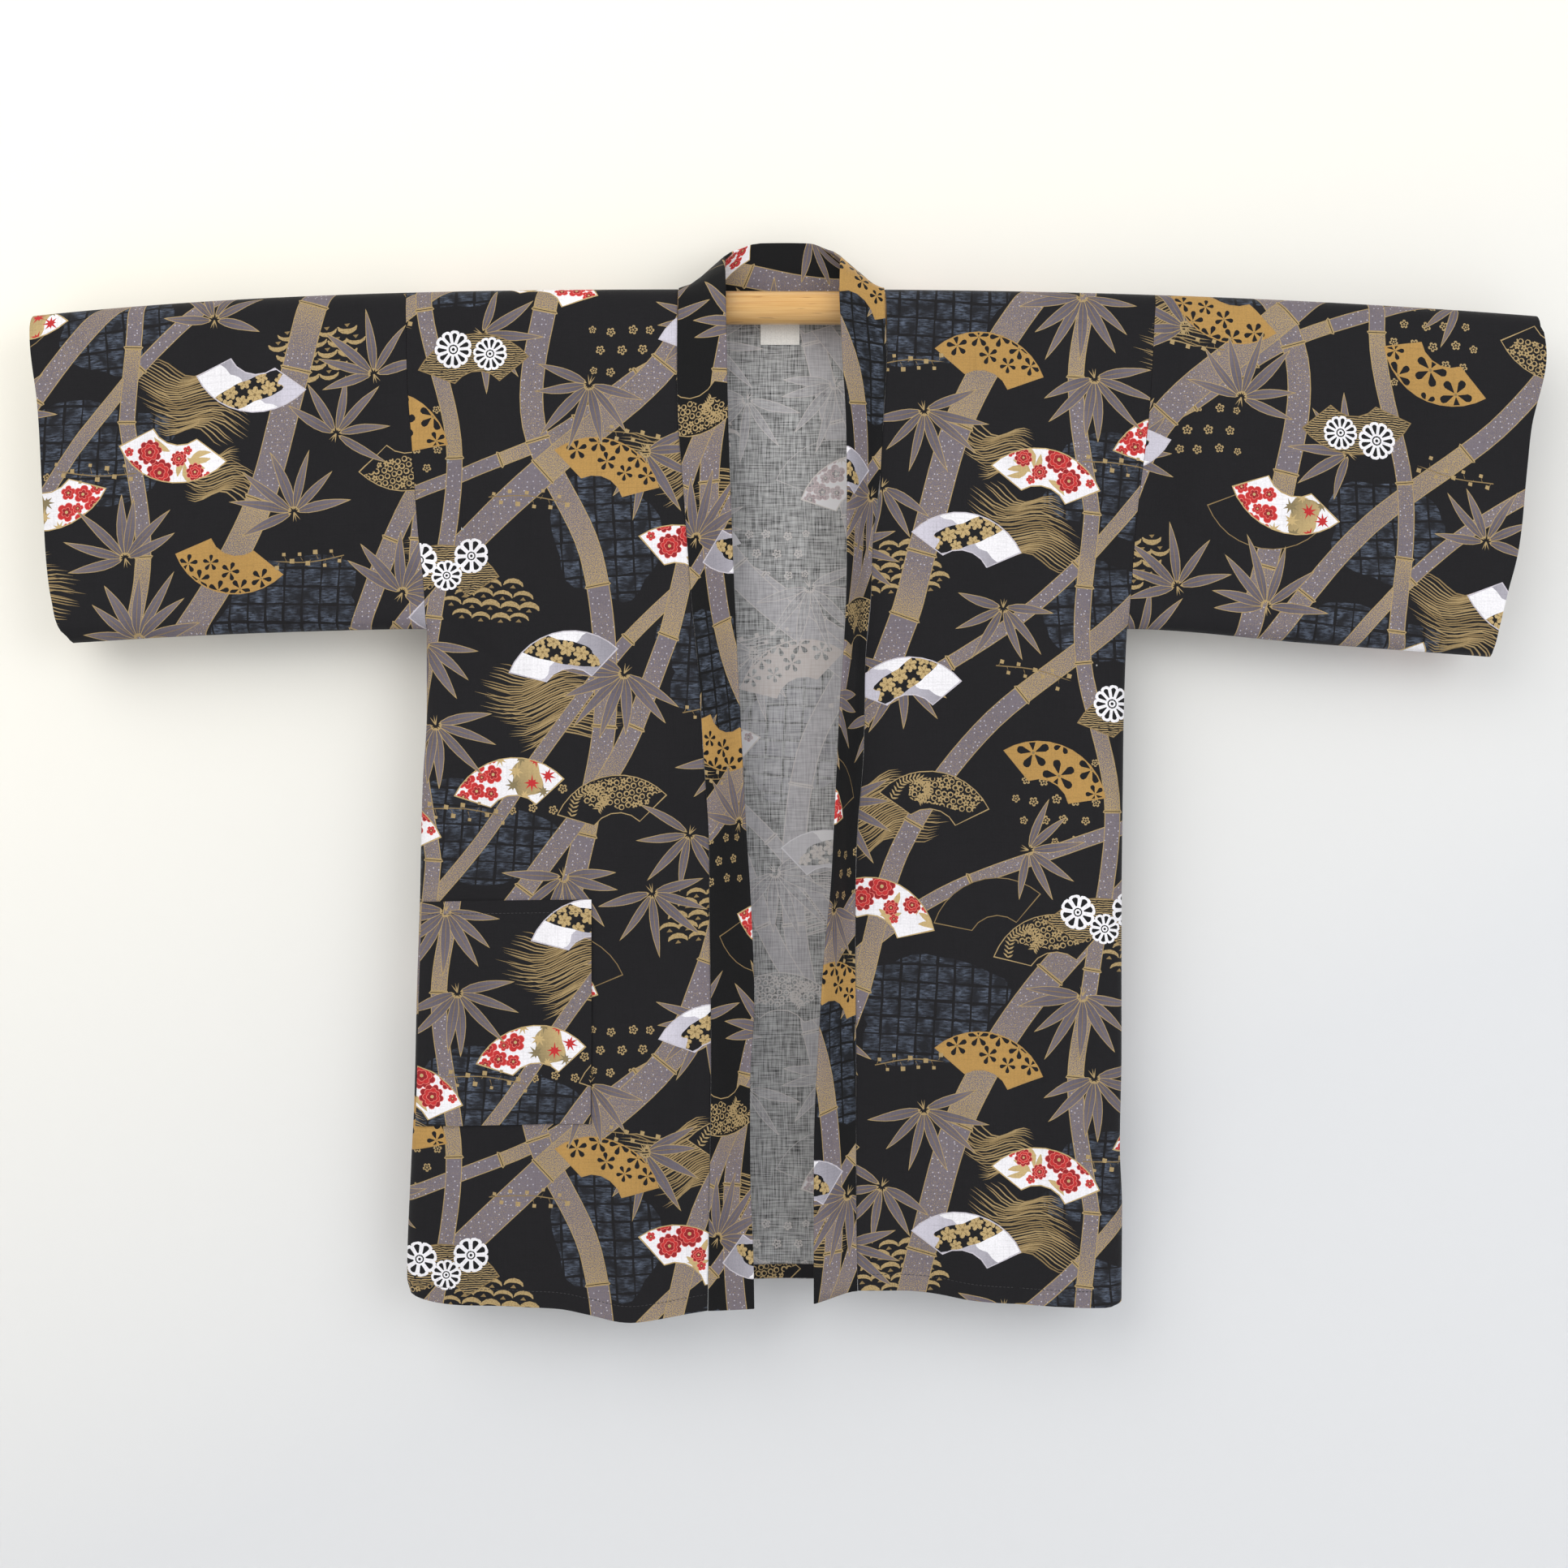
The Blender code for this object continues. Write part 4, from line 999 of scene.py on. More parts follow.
def draw_repeat():
    check_patch((62, 438), (66, 46), 3, 21)
    check_patch((352, 330), (42, 62), -3, 22)
    check_patch((236, 588), (72, 40), 4, 23)
    check_patch((214, 96), (52, 40), -4, 24)
    for centre, length, strands, turn, seed in (((306, 476), 116, 34, -8, 31), ((150, 24), 100, 28, 12, 32),
            ((20, 270), 108, 30, -14, 33), ((130, 560), 84, 20, 8, 34)):
        grass_patch(centre, length, strands, turn, seed)
    blossom_field((176, 250), (46, 44), 17, 41)
    blossom_field((372, 176), (40, 34), 17, 42)
    blossom_field((300, 556), (44, 22), 17, 43)
    scallop_patch((40, 66), 5, 5, -4)
    scallop_patch((262, 396), 5, 4, 6)
    culm([(-20, 196), (70, 148), (160, 86), (238, 4), (304, -90), (380, -186), (470, -258), (590, -306),
        (700, -348), (780, -404)], 12, (0.13, 0.27, 0.4, 0.55, 0.7, 0.85, 0.93), True)
    culm([(334, 590), (352, 480), (340, 352), (290, 236), (304, 120), (334, -10)], 20,
        (0.16, 0.36, 0.58, 0.76, 0.9), True)
    culm([(58, 646), (96, 520), (172, 402), (292, 284), (400, 190), (440, 110), (458, 46)], 25,
        (0.14, 0.32, 0.5, 0.68, 0.86))
    culm([(6, 420), (40, 300), (112, 196), (232, 96), (310, 0), (366, -80), (406, -180)], 17,
        (0.2, 0.38, 0.6, 0.74, 0.88), True)
    culm([(204, 610), (190, 500), (204, 404), (222, 262), (196, 130), (204, 10)], 14,
        (0.22, 0.4, 0.6, 0.78, 0.9))
    shadow_fan((322, 92), 12)
    shadow_fan((112, 342), -16)
    for at, turn, leaves, size in (((316, 26), 84, 7, 0.95), ((246, 160), 22, 6, 0.9),
            ((40, 150), 110, 7, 0.9), ((196, 424), 100, 8, 1.0), ((60, 524), 74, 7, 0.95),
            ((386, 262), 60, 7, 0.95), ((368, 452), 120, 8, 1.0), ((128, 92), 96, 6, 0.85)):
        leaf_cluster(at, turn, leaves, size)
    scroll_fan((70, 250), 8, 51)
    scroll_fan((356, 556), -10, 52)
    scroll_fan((164, 372), -14, 53)
    peony_fan((166, 572), 12)
    plum_fan((302, 106), 16)
    hatched_fan((238, 176), -6, ((-16, -5, 16, 11), (15, 3, 14.5, 12)))
    cut_fan((176, 226), 24, 0)
    cloud_fan((98, 28), 10)
    peony_fan((28, 344), 22, -1)
    cut_fan((118, 474), 14, 1)
    plum_fan((268, 540), -8, -1)
    cut_fan((356, 268), 20, 1)
    cloud_fan((44, 152), -6)
    hatched_fan((214, 356), 4, ((-22, -2, 15, 8), (2, 10, 13, 10), (22, -8, 15, 8)))
    cloud_fan((314, 432), -12, -1)
    for at, turn, leaves, size in (((338, 204), 108, 7, 0.95), ((150, 300), 16, 6, 0.85),
            ((206, 494), 76, 7, 0.95), ((24, 590), 120, 6, 0.9), ((392, 40), 70, 6, 0.9)):
        leaf_cluster(at, turn, leaves, size)
    for at, turn, length, seed in (((122, 142), 10, 66, 61), ((252, 300), 4, 70, 62),
            ((18, 486), -4, 60, 63), ((196, 566), 6, 72, 64), ((352, 244), 14, 48, 65)):
        berry_twig(at, turn, length, seed)
    return SHAPES


# Cutting the print into cloth
def copies(outline, shift, turn):
    """Which repeats reach a panel, as offsets in millimetres."""
    ends = np.array([outline.min(0) - shift, outline.max(0) - shift]) * turn
    low, high = ends.min(0), ends.max(0)
    first = np.floor(low / REPEAT).astype(int)
    last = np.ceil(high / REPEAT).astype(int)
    return [(column * REPEAT[0], row * REPEAT[1]) for row in range(first[1] - 1, last[1] + 2)
        for column in range(first[0] - 2, last[0] + 1)]


class Placed(NamedTuple):
    """One copy of a shape on a panel: its ink, its offset, its points and the copy that it lies within."""
    ink: Ink
    offset: np.ndarray
    shape: np.ndarray
    parent: int


def place_inks(outline, inks, shift, turn, span):
    """Every copy of every shape on a panel, or a span of it, in painting order; 0 is the bare ground."""
    low, high = outline.min(0), outline.max(0)
    if span:
        low[0], high[0] = span
    placed = [None]
    where = {}
    offsets = copies(outline, shift, turn)
    for number, ink in enumerate(inks):
        for offset in offsets:
            if ink.within >= 0 and (ink.within, offset) not in where:
                continue
            shape = turn * (ink.points + offset) + shift
            if (shape.max(0) < low).any() or (shape.min(0) > high).any():
                continue
            where[number, offset] = len(placed)
            placed.append(Placed(ink, np.array(offset), shape, where.get((ink.within, offset), 0)))
    return placed


def inside(shape, points):
    """Which points lie inside a closed outline."""
    x, y = points.T
    hit = np.zeros(len(points), bool)
    for (x0, y0), (x1, y1) in zip(shape, np.roll(shape, -1, axis=0)):
        if y0 != y1:
            hit ^= ((y0 > y) != (y1 > y)) & (x < (x1 - x0) * (y - y0) / (y1 - y0) + x0)
    return hit


def triangles_along(outline, lines, loops, pairs=(), pair_points=()):
    """Triangles inside an outline that keep to lines, to closed loops and to single edges."""
    verts = [Vector(point) for point in pair_points]
    edges = [(int(one), int(two)) for one, two in pairs]
    chains = [(outline, True), *((line, False) for line in lines), *((loop, True) for loop in loops)]
    for points, closed in chains:
        first = len(verts)
        verts += [Vector(point) for point in points]
        edges += [(k, k + 1) for k in range(first, len(verts) - 1)]
        if closed:
            edges.append((len(verts) - 1, first))
    made = delaunay_2d_cdt(verts, edges, [], 0, WELD, False)
    points = np.array([tuple(vert) for vert in made[0]])
    triangles = np.array(made[2])
    return points, triangles[inside(outline, points[triangles].mean(1))]


def find_owners(points, triangles, placed):
    """For each triangle, the last shape painted over its middle."""
    middle = points[triangles].mean(1)
    order = np.argsort(middle[:, 0])
    middle = middle[order]
    owner = np.zeros(len(middle), int)
    parents = {entry.parent for entry in placed[1:]}
    covers = {}
    for number, entry in enumerate(placed[1:], start=1):
        low, high = entry.shape.min(0), entry.shape.max(0)
        first, last = np.searchsorted(middle[:, 0], (low[0], high[0]))
        level = middle[first:last, 1]
        index = first + np.nonzero((level >= low[1]) & (level <= high[1]))[0]
        index = index[inside(entry.shape, middle[index])]
        if entry.parent:
            index = index[covers[entry.parent][index]]
        if number in parents:
            covers[number] = np.zeros(len(middle), bool)
            covers[number][index] = True
        if entry.ink.kind != NO_INK:
            owner[index] = number
    owners = np.empty_like(owner)
    owners[order] = owner
    return owners


def seen_edges(triangles, owners):
    """Edges between triangles of different shapes."""
    pairs = np.sort(np.vstack([triangles[:, [0, 1]], triangles[:, [1, 2]], triangles[:, [2, 0]]]), axis=1)
    who = np.tile(owners, 3)
    order = np.lexsort((pairs[:, 1], pairs[:, 0]))
    pairs, who = pairs[order], who[order]
    return pairs[1:][(pairs[1:] == pairs[:-1]).all(1) & (who[1:] != who[:-1])]


def straightened(points, pairs):
    """Joins two edges into one where the point between them lies on a straight line."""
    links = {}
    for one, two in pairs.tolist():
        links.setdefault(one, []).append(two)
        links.setdefault(two, []).append(one)
    for spot in list(links):
        if len(links[spot]) != 2:
            continue
        one, two = links[spot]
        chord = points[two] - points[one]
        away = points[spot] - points[one]
        reach = math.hypot(*chord)
        if one == two or two in links[one] or reach < WELD:
            continue
        if abs(chord[0] * away[1] - chord[1] * away[0]) / reach < STRAIGHT:
            for end, other in ((one, two), (two, one)):
                links[end].remove(spot)
                links[end].append(other)
            del links[spot]
    kept = {spot: number for number, spot in enumerate(links)}
    joined = [(kept[one], kept[two]) for one, ends in links.items() for two in ends if one < two]
    return joined, points[list(links)]


def cut_cloth(flat, inks, shift, turn, ground, span=None):
    """Triangles of a flat panel along its lines and the print's edges, with the colour at each corner."""
    outline = flat.outline / MM
    lines = [np.asarray(line) / MM for line in flat.lines]
    turn = np.array(turn)
    shift = np.array(shift, float)
    placed = place_inks(outline, inks, shift, turn, span)
    points, triangles = triangles_along(outline, [], [entry.shape for entry in placed[1:]])
    if len(placed) > 1:
        seen = seen_edges(triangles, find_owners(points, triangles, placed))
        seen, points = straightened(points, seen)
        points, triangles = triangles_along(outline, lines, [], seen, points)
    else:
        points, triangles = triangles_along(outline, lines, [])
    owners = find_owners(points, triangles, placed)
    colours = corner_colours(points, triangles, owners, placed, shift, turn, ground)
    used, index = np.unique(triangles, return_inverse=True)
    return points[used] * MM, index.reshape(triangles.shape), colours


def corner_colours(points, triangles, owners, placed, shift, turn, ground):
    """Colour and kind of ink at each triangle's three corners."""
    start = np.array([ground] + [entry.ink.start for entry in placed[1:]])
    end = np.array([ground] + [entry.ink.end for entry in placed[1:]])
    line = np.array([((0, 0), (1, 0))]
        + [entry.ink.line + entry.offset for entry in placed[1:]]) * turn + shift
    kind = np.array([FLAT_INK] + [entry.ink.kind for entry in placed[1:]])
    dust = np.array([(0.0, 0.0)] + [entry.ink.dust for entry in placed[1:]])
    reach = line[:, 1] - line[:, 0]
    corners = points[triangles]
    owner = owners[:, None]
    t = ((corners - line[owner, 0]) * reach[owner]).sum(-1) / (reach[owner] ** 2).sum(-1)
    t = np.clip(t, 0, 1)[..., None]
    colours = start[owner] * (1 - t) + end[owner] * t
    amount = dust[owner, 0] * (1 - t[..., 0]) + dust[owner, 1] * t[..., 0]
    is_black = (np.abs(colours - BLACK).sum(-1) < 1e-6)[..., None]
    colours = np.where(is_black, ground, colours)
    return np.concatenate([colours, (kind[owner] + DUST_SCALE * amount)[..., None]], axis=-1)


# Making meshes
def normals_of(place, points, sign):
    """The cloth's outward direction at flat points."""
    step = NORMAL_STEP
    x, s = points.T
    across = place(x + step, s) - place(x - step, s)
    down = place(x, s + step) - place(x, s - step)
    return unit(np.cross(across, down) * sign)


def finished_mesh(name, verts, faces, corner_uv, corner_ink, corner_normals, face_finish, finishes):
    mesh = bpy.data.meshes.new(name)
    mesh.from_pydata(verts.tolist(), [], faces.tolist() if isinstance(faces, np.ndarray) else faces)
    for finish in finishes:
        mesh.materials.append(finish)
    uv = mesh.uv_layers.new(name="cloth")
    uv.data.foreach_set("uv", corner_uv.astype(np.float32).ravel())
    ink = mesh.color_attributes.new("ink", "FLOAT_COLOR", "CORNER")
    ink.data.foreach_set("color", corner_ink.astype(np.float32).ravel())
    mesh.polygons.foreach_set("material_index", np.asarray(face_finish, np.int32))
    mesh.polygons.foreach_set("use_smooth", np.ones(len(mesh.polygons), bool))
    mesh.normals_split_custom_set(corner_normals.tolist())
    mesh.update()
    return add_piece(name, mesh)


def add_piece(name, mesh):
    piece = bpy.data.objects.new(name, mesh)
    jacket.objects.link(piece)
    return piece


def open_edges(triangles):
    """The rim's edges, each in its triangle's own direction."""
    pairs = np.vstack([triangles[:, [0, 1]], triangles[:, [1, 2]], triangles[:, [2, 0]]])
    keys = np.sort(pairs, axis=1)
    _, index, counts = np.unique(keys, axis=0, return_index=True, return_counts=True)
    return pairs[index[counts == 1]]


def cloth_piece(name, place, sign, flat, inks, shift, finishes, turn=(1, 1), out=0.0, ground=BLACK,
        span=(0, 0)):
    """A panel as a closed thin shell: printed side, wrong side and rim. sign says which way is outward.
    The print shows through on the wrong side within a span of x, in millimetres."""
    points, triangles, colours = cut_cloth(flat, inks, shift, turn, ground)
    back_points, back_triangles, back_colours = cut_cloth(flat, inks if span[1] > span[0] else [], shift,
        turn, ground, span)
    sides = []
    for side, (spots, corners, tints) in ((1, (points, triangles, colours)),
            (-1, (back_points, back_triangles, back_colours))):
        normal = normals_of(place, spots, sign)
        if side * sign < 0:
            corners, tints = corners[:, ::-1], tints[:, ::-1]
        sides.append((place(*spots.T) + normal * (out + side * CLOTH / 2), normal * side, corners, tints))
    rim = open_edges(sides[0][2])
    rim_spots = points[rim]
    rim_middle = place(*rim_spots.reshape(-1, 2).T).reshape(-1, 2, 3)
    rim_normal = normals_of(place, rim_spots.reshape(-1, 2), sign).reshape(-1, 2, 3)
    rim_verts = np.stack([rim_middle + rim_normal * (out + side * CLOTH / 2) for side in (1, -1)], 1)
    count = len(rim)
    first = np.arange(count)[:, None] * 4
    rim_faces = np.vstack([first + (1, 0, 2), first + (1, 2, 3)])
    rim_verts = rim_verts.reshape(-1, 3)
    one, two, three = (rim_verts[rim_faces[:, k]] for k in range(3))
    flat_normal = unit(np.cross(two - one, three - one))
    starts = (0, len(points), len(points) + len(back_points))
    verts = np.vstack([sides[0][0], sides[1][0], rim_verts])
    faces = np.vstack([sides[0][2], sides[1][2] + starts[1], rim_faces + starts[2]])
    corner_normals = np.vstack([sides[0][1][sides[0][2].ravel()], sides[1][1][sides[1][2].ravel()],
        np.repeat(flat_normal, 3, axis=0)])
    plain = np.array([*ground, FLAT_INK])
    ink = np.vstack([sides[0][3].reshape(-1, 4), sides[1][3].reshape(-1, 4),
        np.tile(plain, (count * 6, 1))])
    spots = np.vstack([points, back_points, np.repeat(rim_spots[:, None], 2, 1).reshape(-1, 2)])
    finish = np.concatenate([np.zeros(len(triangles)), np.ones(len(back_triangles)), np.zeros(2 * count)])
    if len(finishes) == 1:
        finish[:] = 0
    piece = finished_mesh(name, verts, faces, spots[faces.ravel()], ink, corner_normals, finish, finishes)
    corners = points[triangles]
    edge_a, edge_b = corners[:, 1] - corners[:, 0], corners[:, 2] - corners[:, 0]
    area = float(np.abs(edge_a[:, 0] * edge_b[:, 1] - edge_a[:, 1] * edge_b[:, 0]).sum() / 2)
    extent = np.ptp(points, axis=0)
    return piece, extent, area


jacket = bpy.data.collections.new("kimono jacket")
bpy.context.scene.collection.children.link(jacket)


# Finishes
class Nodes:
    """Short ways to add shader nodes to a tree."""

    def __init__(self, tree):
        self.tree = tree

    def add(self, kind, **settings):
        node = self.tree.nodes.new(kind)
        for key, value in settings.items():
            setattr(node, key, value)
        return node

    def link(self, source, target):
        if isinstance(source, bpy.types.NodeSocket):
            self.tree.links.new(source, target)
        elif target.type == "RGBA" and hasattr(source, "__len__") and len(source) == 3:
            target.default_value = (*source, 1)
        else:
            target.default_value = source

    def math(self, operation, *values, clamp=False):
        node = self.add("ShaderNodeMath", operation=operation, use_clamp=clamp)
        for socket, value in zip(node.inputs, values):
            self.link(value, socket)
        return node.outputs[0]

    def times(self, one, other):
        return self.math("MULTIPLY", one, other)

    def plus(self, one, other, clamp=False):
        return self.math("ADD", one, other, clamp=clamp)

    def minus(self, one, other):
        return self.math("SUBTRACT", one, other)

    def mix(self, share, first, second, blend="MIX"):
        node = self.add("ShaderNodeMix", data_type="RGBA", blend_type=blend)
        self.link(share, node.inputs[0])
        self.link(first, node.inputs[6])
        self.link(second, node.inputs[7])
        return node.outputs[2]

    def noise(self, vector, scale=1.0, detail=2.0, roughness=0.5, stretch=None):
        if stretch:
            shaped = self.add("ShaderNodeVectorMath", operation="MULTIPLY")
            self.link(vector, shaped.inputs[0])
            shaped.inputs[1].default_value = stretch
            vector = shaped.outputs[0]
        node = self.add("ShaderNodeTexNoise")
        self.link(vector, node.inputs["Vector"])
        for key, value in (("Scale", scale), ("Detail", detail), ("Roughness", roughness)):
            node.inputs[key].default_value = value
        return node.outputs["Fac"]

    def dots(self, vector, scale, size, soft):
        """1 inside round spots, 0 between them."""
        node = self.add("ShaderNodeTexVoronoi", feature="F1", voronoi_dimensions="2D")
        self.link(vector, node.inputs["Vector"])
        node.inputs["Scale"].default_value = scale
        node.inputs["Randomness"].default_value = 0.75
        return self.ramp(node.outputs["Distance"], size + soft, size)

    def ramp(self, value, low, high):
        """0 at low, 1 at high, straight between them."""
        node = self.add("ShaderNodeMapRange", clamp=True)
        self.link(value, node.inputs["Value"])
        self.link(low, node.inputs["From Min"])
        self.link(high, node.inputs["From Max"])
        return node.outputs["Result"]


def group(name, inputs, outputs):
    """A shader node group with named inputs and outputs, ready to be filled."""
    tree = bpy.data.node_groups.new(name, "ShaderNodeTree")
    for label, kind, value in inputs:
        socket = tree.interface.new_socket(label, in_out="INPUT", socket_type=kind)
        if value is not None:
            socket.default_value = value
    for label, kind in outputs:
        tree.interface.new_socket(label, in_out="OUTPUT", socket_type=kind)
    nodes = Nodes(tree)
    start, end = nodes.add("NodeGroupInput"), nodes.add("NodeGroupOutput")
    return tree, nodes, start.outputs, end.inputs


def make_weave():
    """Plain weave with uneven threads. Tone is near 1, lower at thick threads; Height is the relief."""
    tree, nodes, given, out = group("plain weave",
        [("Vector", "NodeSocketVector", None), ("Threads per metre", "NodeSocketFloat", 1600.0),
        ("Slub", "NodeSocketFloat", 0.2)], [("Tone", "NodeSocketFloat"), ("Height", "NodeSocketFloat")])
    split = nodes.add("ShaderNodeSeparateXYZ")
    nodes.link(given["Vector"], split.inputs[0])
    half_turn = nodes.times(given["Threads per metre"], math.pi)
    warp = nodes.math("ABSOLUTE", nodes.math("SINE", nodes.times(split.outputs[0], half_turn)))
    weft = nodes.math("ABSOLUTE", nodes.math("SINE", nodes.times(split.outputs[1], half_turn)))
    upright = nodes.noise(given["Vector"], stretch=(900, 34, 1), detail=1.5)
    level = nodes.noise(given["Vector"], stretch=(34, 900, 1), detail=1.5)
    slubs = nodes.plus(nodes.ramp(upright, 0.5, 0.72), nodes.ramp(level, 0.5, 0.72))
    fine = nodes.noise(given["Vector"], stretch=(700, 700, 1), detail=1.0)
    tone = nodes.plus(1.0, nodes.times(nodes.minus(fine, 0.5), 0.3))
    tone = nodes.minus(tone, nodes.times(slubs, given["Slub"]))
    nodes.link(tone, out["Tone"])
    nodes.link(nodes.plus(nodes.times(warp, weft), nodes.times(slubs, 0.6)), out["Height"])
    return tree


def make_inks():
    """How each kind of ink lies: even, gold, dusted, brushed, hatched or mottled."""
    tree, nodes, given, out = group("printing inks",
        [("Vector", "NodeSocketVector", None), ("Ink", "NodeSocketColor", None),
        ("Kind", "NodeSocketFloat", None), ("Ground", "NodeSocketColor", None)],
        [("Color", "NodeSocketColor"), ("Gold", "NodeSocketFloat")])
    kind = nodes.math("FLOOR", nodes.plus(given["Kind"], 0.02))
    dust = nodes.math("DIVIDE", nodes.minus(given["Kind"], kind), DUST_SCALE, clamp=True)

    def is_kind(number):
        return nodes.math("COMPARE", kind, float(number), 0.4)

    vector = given["Vector"]
    fine = nodes.noise(vector, 1250, 1.0)
    coarse = nodes.noise(vector, 160, 2.0)
    dusted = nodes.ramp(nodes.plus(fine, nodes.times(dust, 0.32)), 0.66, 0.7)
    dusted = nodes.times(dusted, nodes.ramp(dust, 0.0, 0.08))
    spots = nodes.times(nodes.dots(vector, 175, 0.075, 0.04), nodes.ramp(dust, 0.01, 0.05))
    spots = nodes.times(spots, nodes.ramp(dust, 0.34, 0.2))
    culm_colour = nodes.mix(dusted, given["Ink"], GOLD)
    culm_colour = nodes.mix(nodes.times(spots, 0.8), culm_colour, LILAC)
    brush = nodes.noise(vector, stretch=(150, 620, 1), detail=3.0, roughness=0.65)
    blotch = nodes.noise(vector, 95, 1.0)
    brushed = nodes.times(nodes.ramp(brush, 0.4, 0.66), nodes.ramp(blotch, 0.34, 0.66))
    brush_colour = nodes.mix(nodes.plus(nodes.times(brushed, 0.95), 0.05), given["Ground"], given["Ink"])
    split = nodes.add("ShaderNodeSeparateXYZ")
    nodes.link(vector, split.inputs[0])
    wavy = nodes.plus(nodes.times(split.outputs[1], 520.0), nodes.times(coarse, 1.3))
    broken = nodes.noise(vector, stretch=(210, 520, 1), detail=1.0)
    lines = nodes.times(nodes.ramp(nodes.math("FRACT", wavy), 0.52, 0.62), nodes.ramp(broken, 0.3, 0.38))
    hatch_colour = nodes.mix(lines, given["Ground"], given["Ink"])
    grains = nodes.times(nodes.ramp(nodes.noise(vector, 900, 1.5), 0.52, 0.62), dust)
    mottled = nodes.mix(grains, given["Ink"], GOLD_DARK)
    gold_colour = nodes.mix(nodes.ramp(fine, 0.3, 0.7), GOLD_DARK, given["Ink"])
    gold_colour = nodes.mix(0.7, gold_colour, given["Ink"])
    colour = given["Ink"]
    for number, painted in ((GOLD_INK, gold_colour), (CULM_INK, culm_colour), (BRUSHED_INK, brush_colour),
            (HATCHED_INK, hatch_colour), (MOTTLED_INK, mottled)):
        colour = nodes.mix(is_kind(number), colour, painted)
    nodes.link(colour, out["Color"])
    gold = nodes.plus(is_kind(GOLD_INK), nodes.times(is_kind(CULM_INK), dusted))
    gold = nodes.plus(gold, nodes.times(is_kind(HATCHED_INK), lines), clamp=True)
    nodes.link(gold, out["Gold"])
    return tree


WEAVE = make_weave()
INKS = make_inks()


def new_material(name, roughness, **values):
    material = bpy.data.materials.new(name)
    material.use_nodes = True
    nodes = Nodes(material.node_tree)
    shader = material.node_tree.nodes["Principled BSDF"]
    shader.inputs["Roughness"].default_value = roughness
    for key, value in values.items():
        shader.inputs[key.replace("_", " ")].default_value = value
    return material, nodes, shader


def bump(nodes, shader, height, distance, strength):
    node = nodes.add("ShaderNodeBump")
    nodes.link(height, node.inputs["Height"])
    node.inputs["Distance"].default_value = distance
    node.inputs["Strength"].default_value = strength
    nodes.link(node.outputs[0], shader.inputs["Normal"])


def cloth_vector(nodes):
    node = nodes.add("ShaderNodeUVMap", uv_map="cloth")
    return node.outputs[0]


def placed_group(nodes, tree, **values):
    node = nodes.add("ShaderNodeGroup", node_tree=tree)
    for key, value in values.items():
        nodes.link(value, node.inputs[key.replace("_", " ")])
    return node.outputs


def printed_cotton(name, ground, fade):
    """The printed side: inks over a black ground that has faded a little along the creases."""
    material, nodes, shader = new_material(name, 0.78, Sheen_Weight=0.035, Sheen_Roughness=0.4,
        Specular_IOR_Level=0.25)
    vector = cloth_vector(nodes)
    ink = nodes.add("ShaderNodeAttribute", attribute_name="ink")
    inks = placed_group(nodes, INKS, Vector=vector, Ink=ink.outputs["Color"], Kind=ink.outputs["Alpha"],
        Ground=ground)
    weave = placed_group(nodes, WEAVE, Vector=vector, Threads_per_metre=1500.0, Slub=0.1)
    worn = nodes.noise(vector, stretch=(14, 9, 1), detail=4.0, roughness=0.62)
    tone = nodes.times(weave["Tone"], nodes.plus(1 - fade / 2, nodes.times(worn, fade)))
    colour = nodes.mix(1.0, inks["Color"], combined(nodes, tone), "MULTIPLY")
    nodes.link(colour, shader.inputs["Base Color"])
    nodes.link(nodes.minus(0.8, nodes.times(inks["Gold"], 0.26)), shader.inputs["Roughness"])
    nodes.link(nodes.times(inks["Gold"], 0.22), shader.inputs["Metallic"])
    bump(nodes, shader, weave["Height"], 0.12 * MM, 0.5)
    return material


def combined(nodes, value):
    node = nodes.add("ShaderNodeCombineColor")
    for socket in node.inputs[:3]:
        nodes.link(value, socket)
    return node.outputs[0]


def wrong_side_cotton():
    """The unprinted side: pale threads over dark ones, with the print showing through as paler shapes."""
    material, nodes, shader = new_material("cotton wrong side", 0.88, Sheen_Weight=0.1,
        Specular_IOR_Level=0.2)
    vector = cloth_vector(nodes)
    ink = nodes.add("ShaderNodeAttribute", attribute_name="ink")
    upright = nodes.noise(vector, stretch=(820, 46, 1), detail=2.5, roughness=0.6)
    level = nodes.noise(vector, stretch=(46, 820, 1), detail=2.5, roughness=0.6)
    threads = nodes.plus(nodes.ramp(upright, 0.34, 0.6), nodes.ramp(level, 0.34, 0.6))
    share = nodes.times(threads, 0.5)
    plain = nodes.mix(share, rgb(34, 34, 36), rgb(196, 196, 196))
    bright = nodes.add("ShaderNodeRGBToBW")
    nodes.link(ink.outputs["Color"], bright.inputs[0])
    seen = nodes.ramp(bright.outputs[0], 0.03, 0.2)
    ghost = nodes.mix(nodes.ramp(bright.outputs[0], 0.12, 0.7), rgb(196, 193, 198), rgb(232, 230, 232))
    ghost = nodes.mix(0.27, ghost, ink.outputs["Color"])
    ghost = nodes.mix(nodes.times(share, 0.4), ghost, rgb(214, 212, 214))
    colour = nodes.mix(nodes.times(seen, 0.88), plain, ghost)
    nodes.link(colour, shader.inputs["Base Color"])
    weave = placed_group(nodes, WEAVE, Vector=vector, Threads_per_metre=1500.0, Slub=0.2)
    bump(nodes, shader, weave["Height"], 0.14 * MM, 0.6)
    return material


def label_tape():
    """Off-white woven tape with fine ribs."""
    material, nodes, shader = new_material("label tape", 0.6, Sheen_Weight=0.15)
    vector = cloth_vector(nodes)
    weave = placed_group(nodes, WEAVE, Vector=vector, Threads_per_metre=2200.0, Slub=0.05)
    colour = nodes.mix(1.0, rgb(242, 240, 235), combined(nodes, weave["Tone"]), "MULTIPLY")
    nodes.link(colour, shader.inputs["Base Color"])
    bump(nodes, shader, weave["Height"], 0.1 * MM, 0.6)
    return material


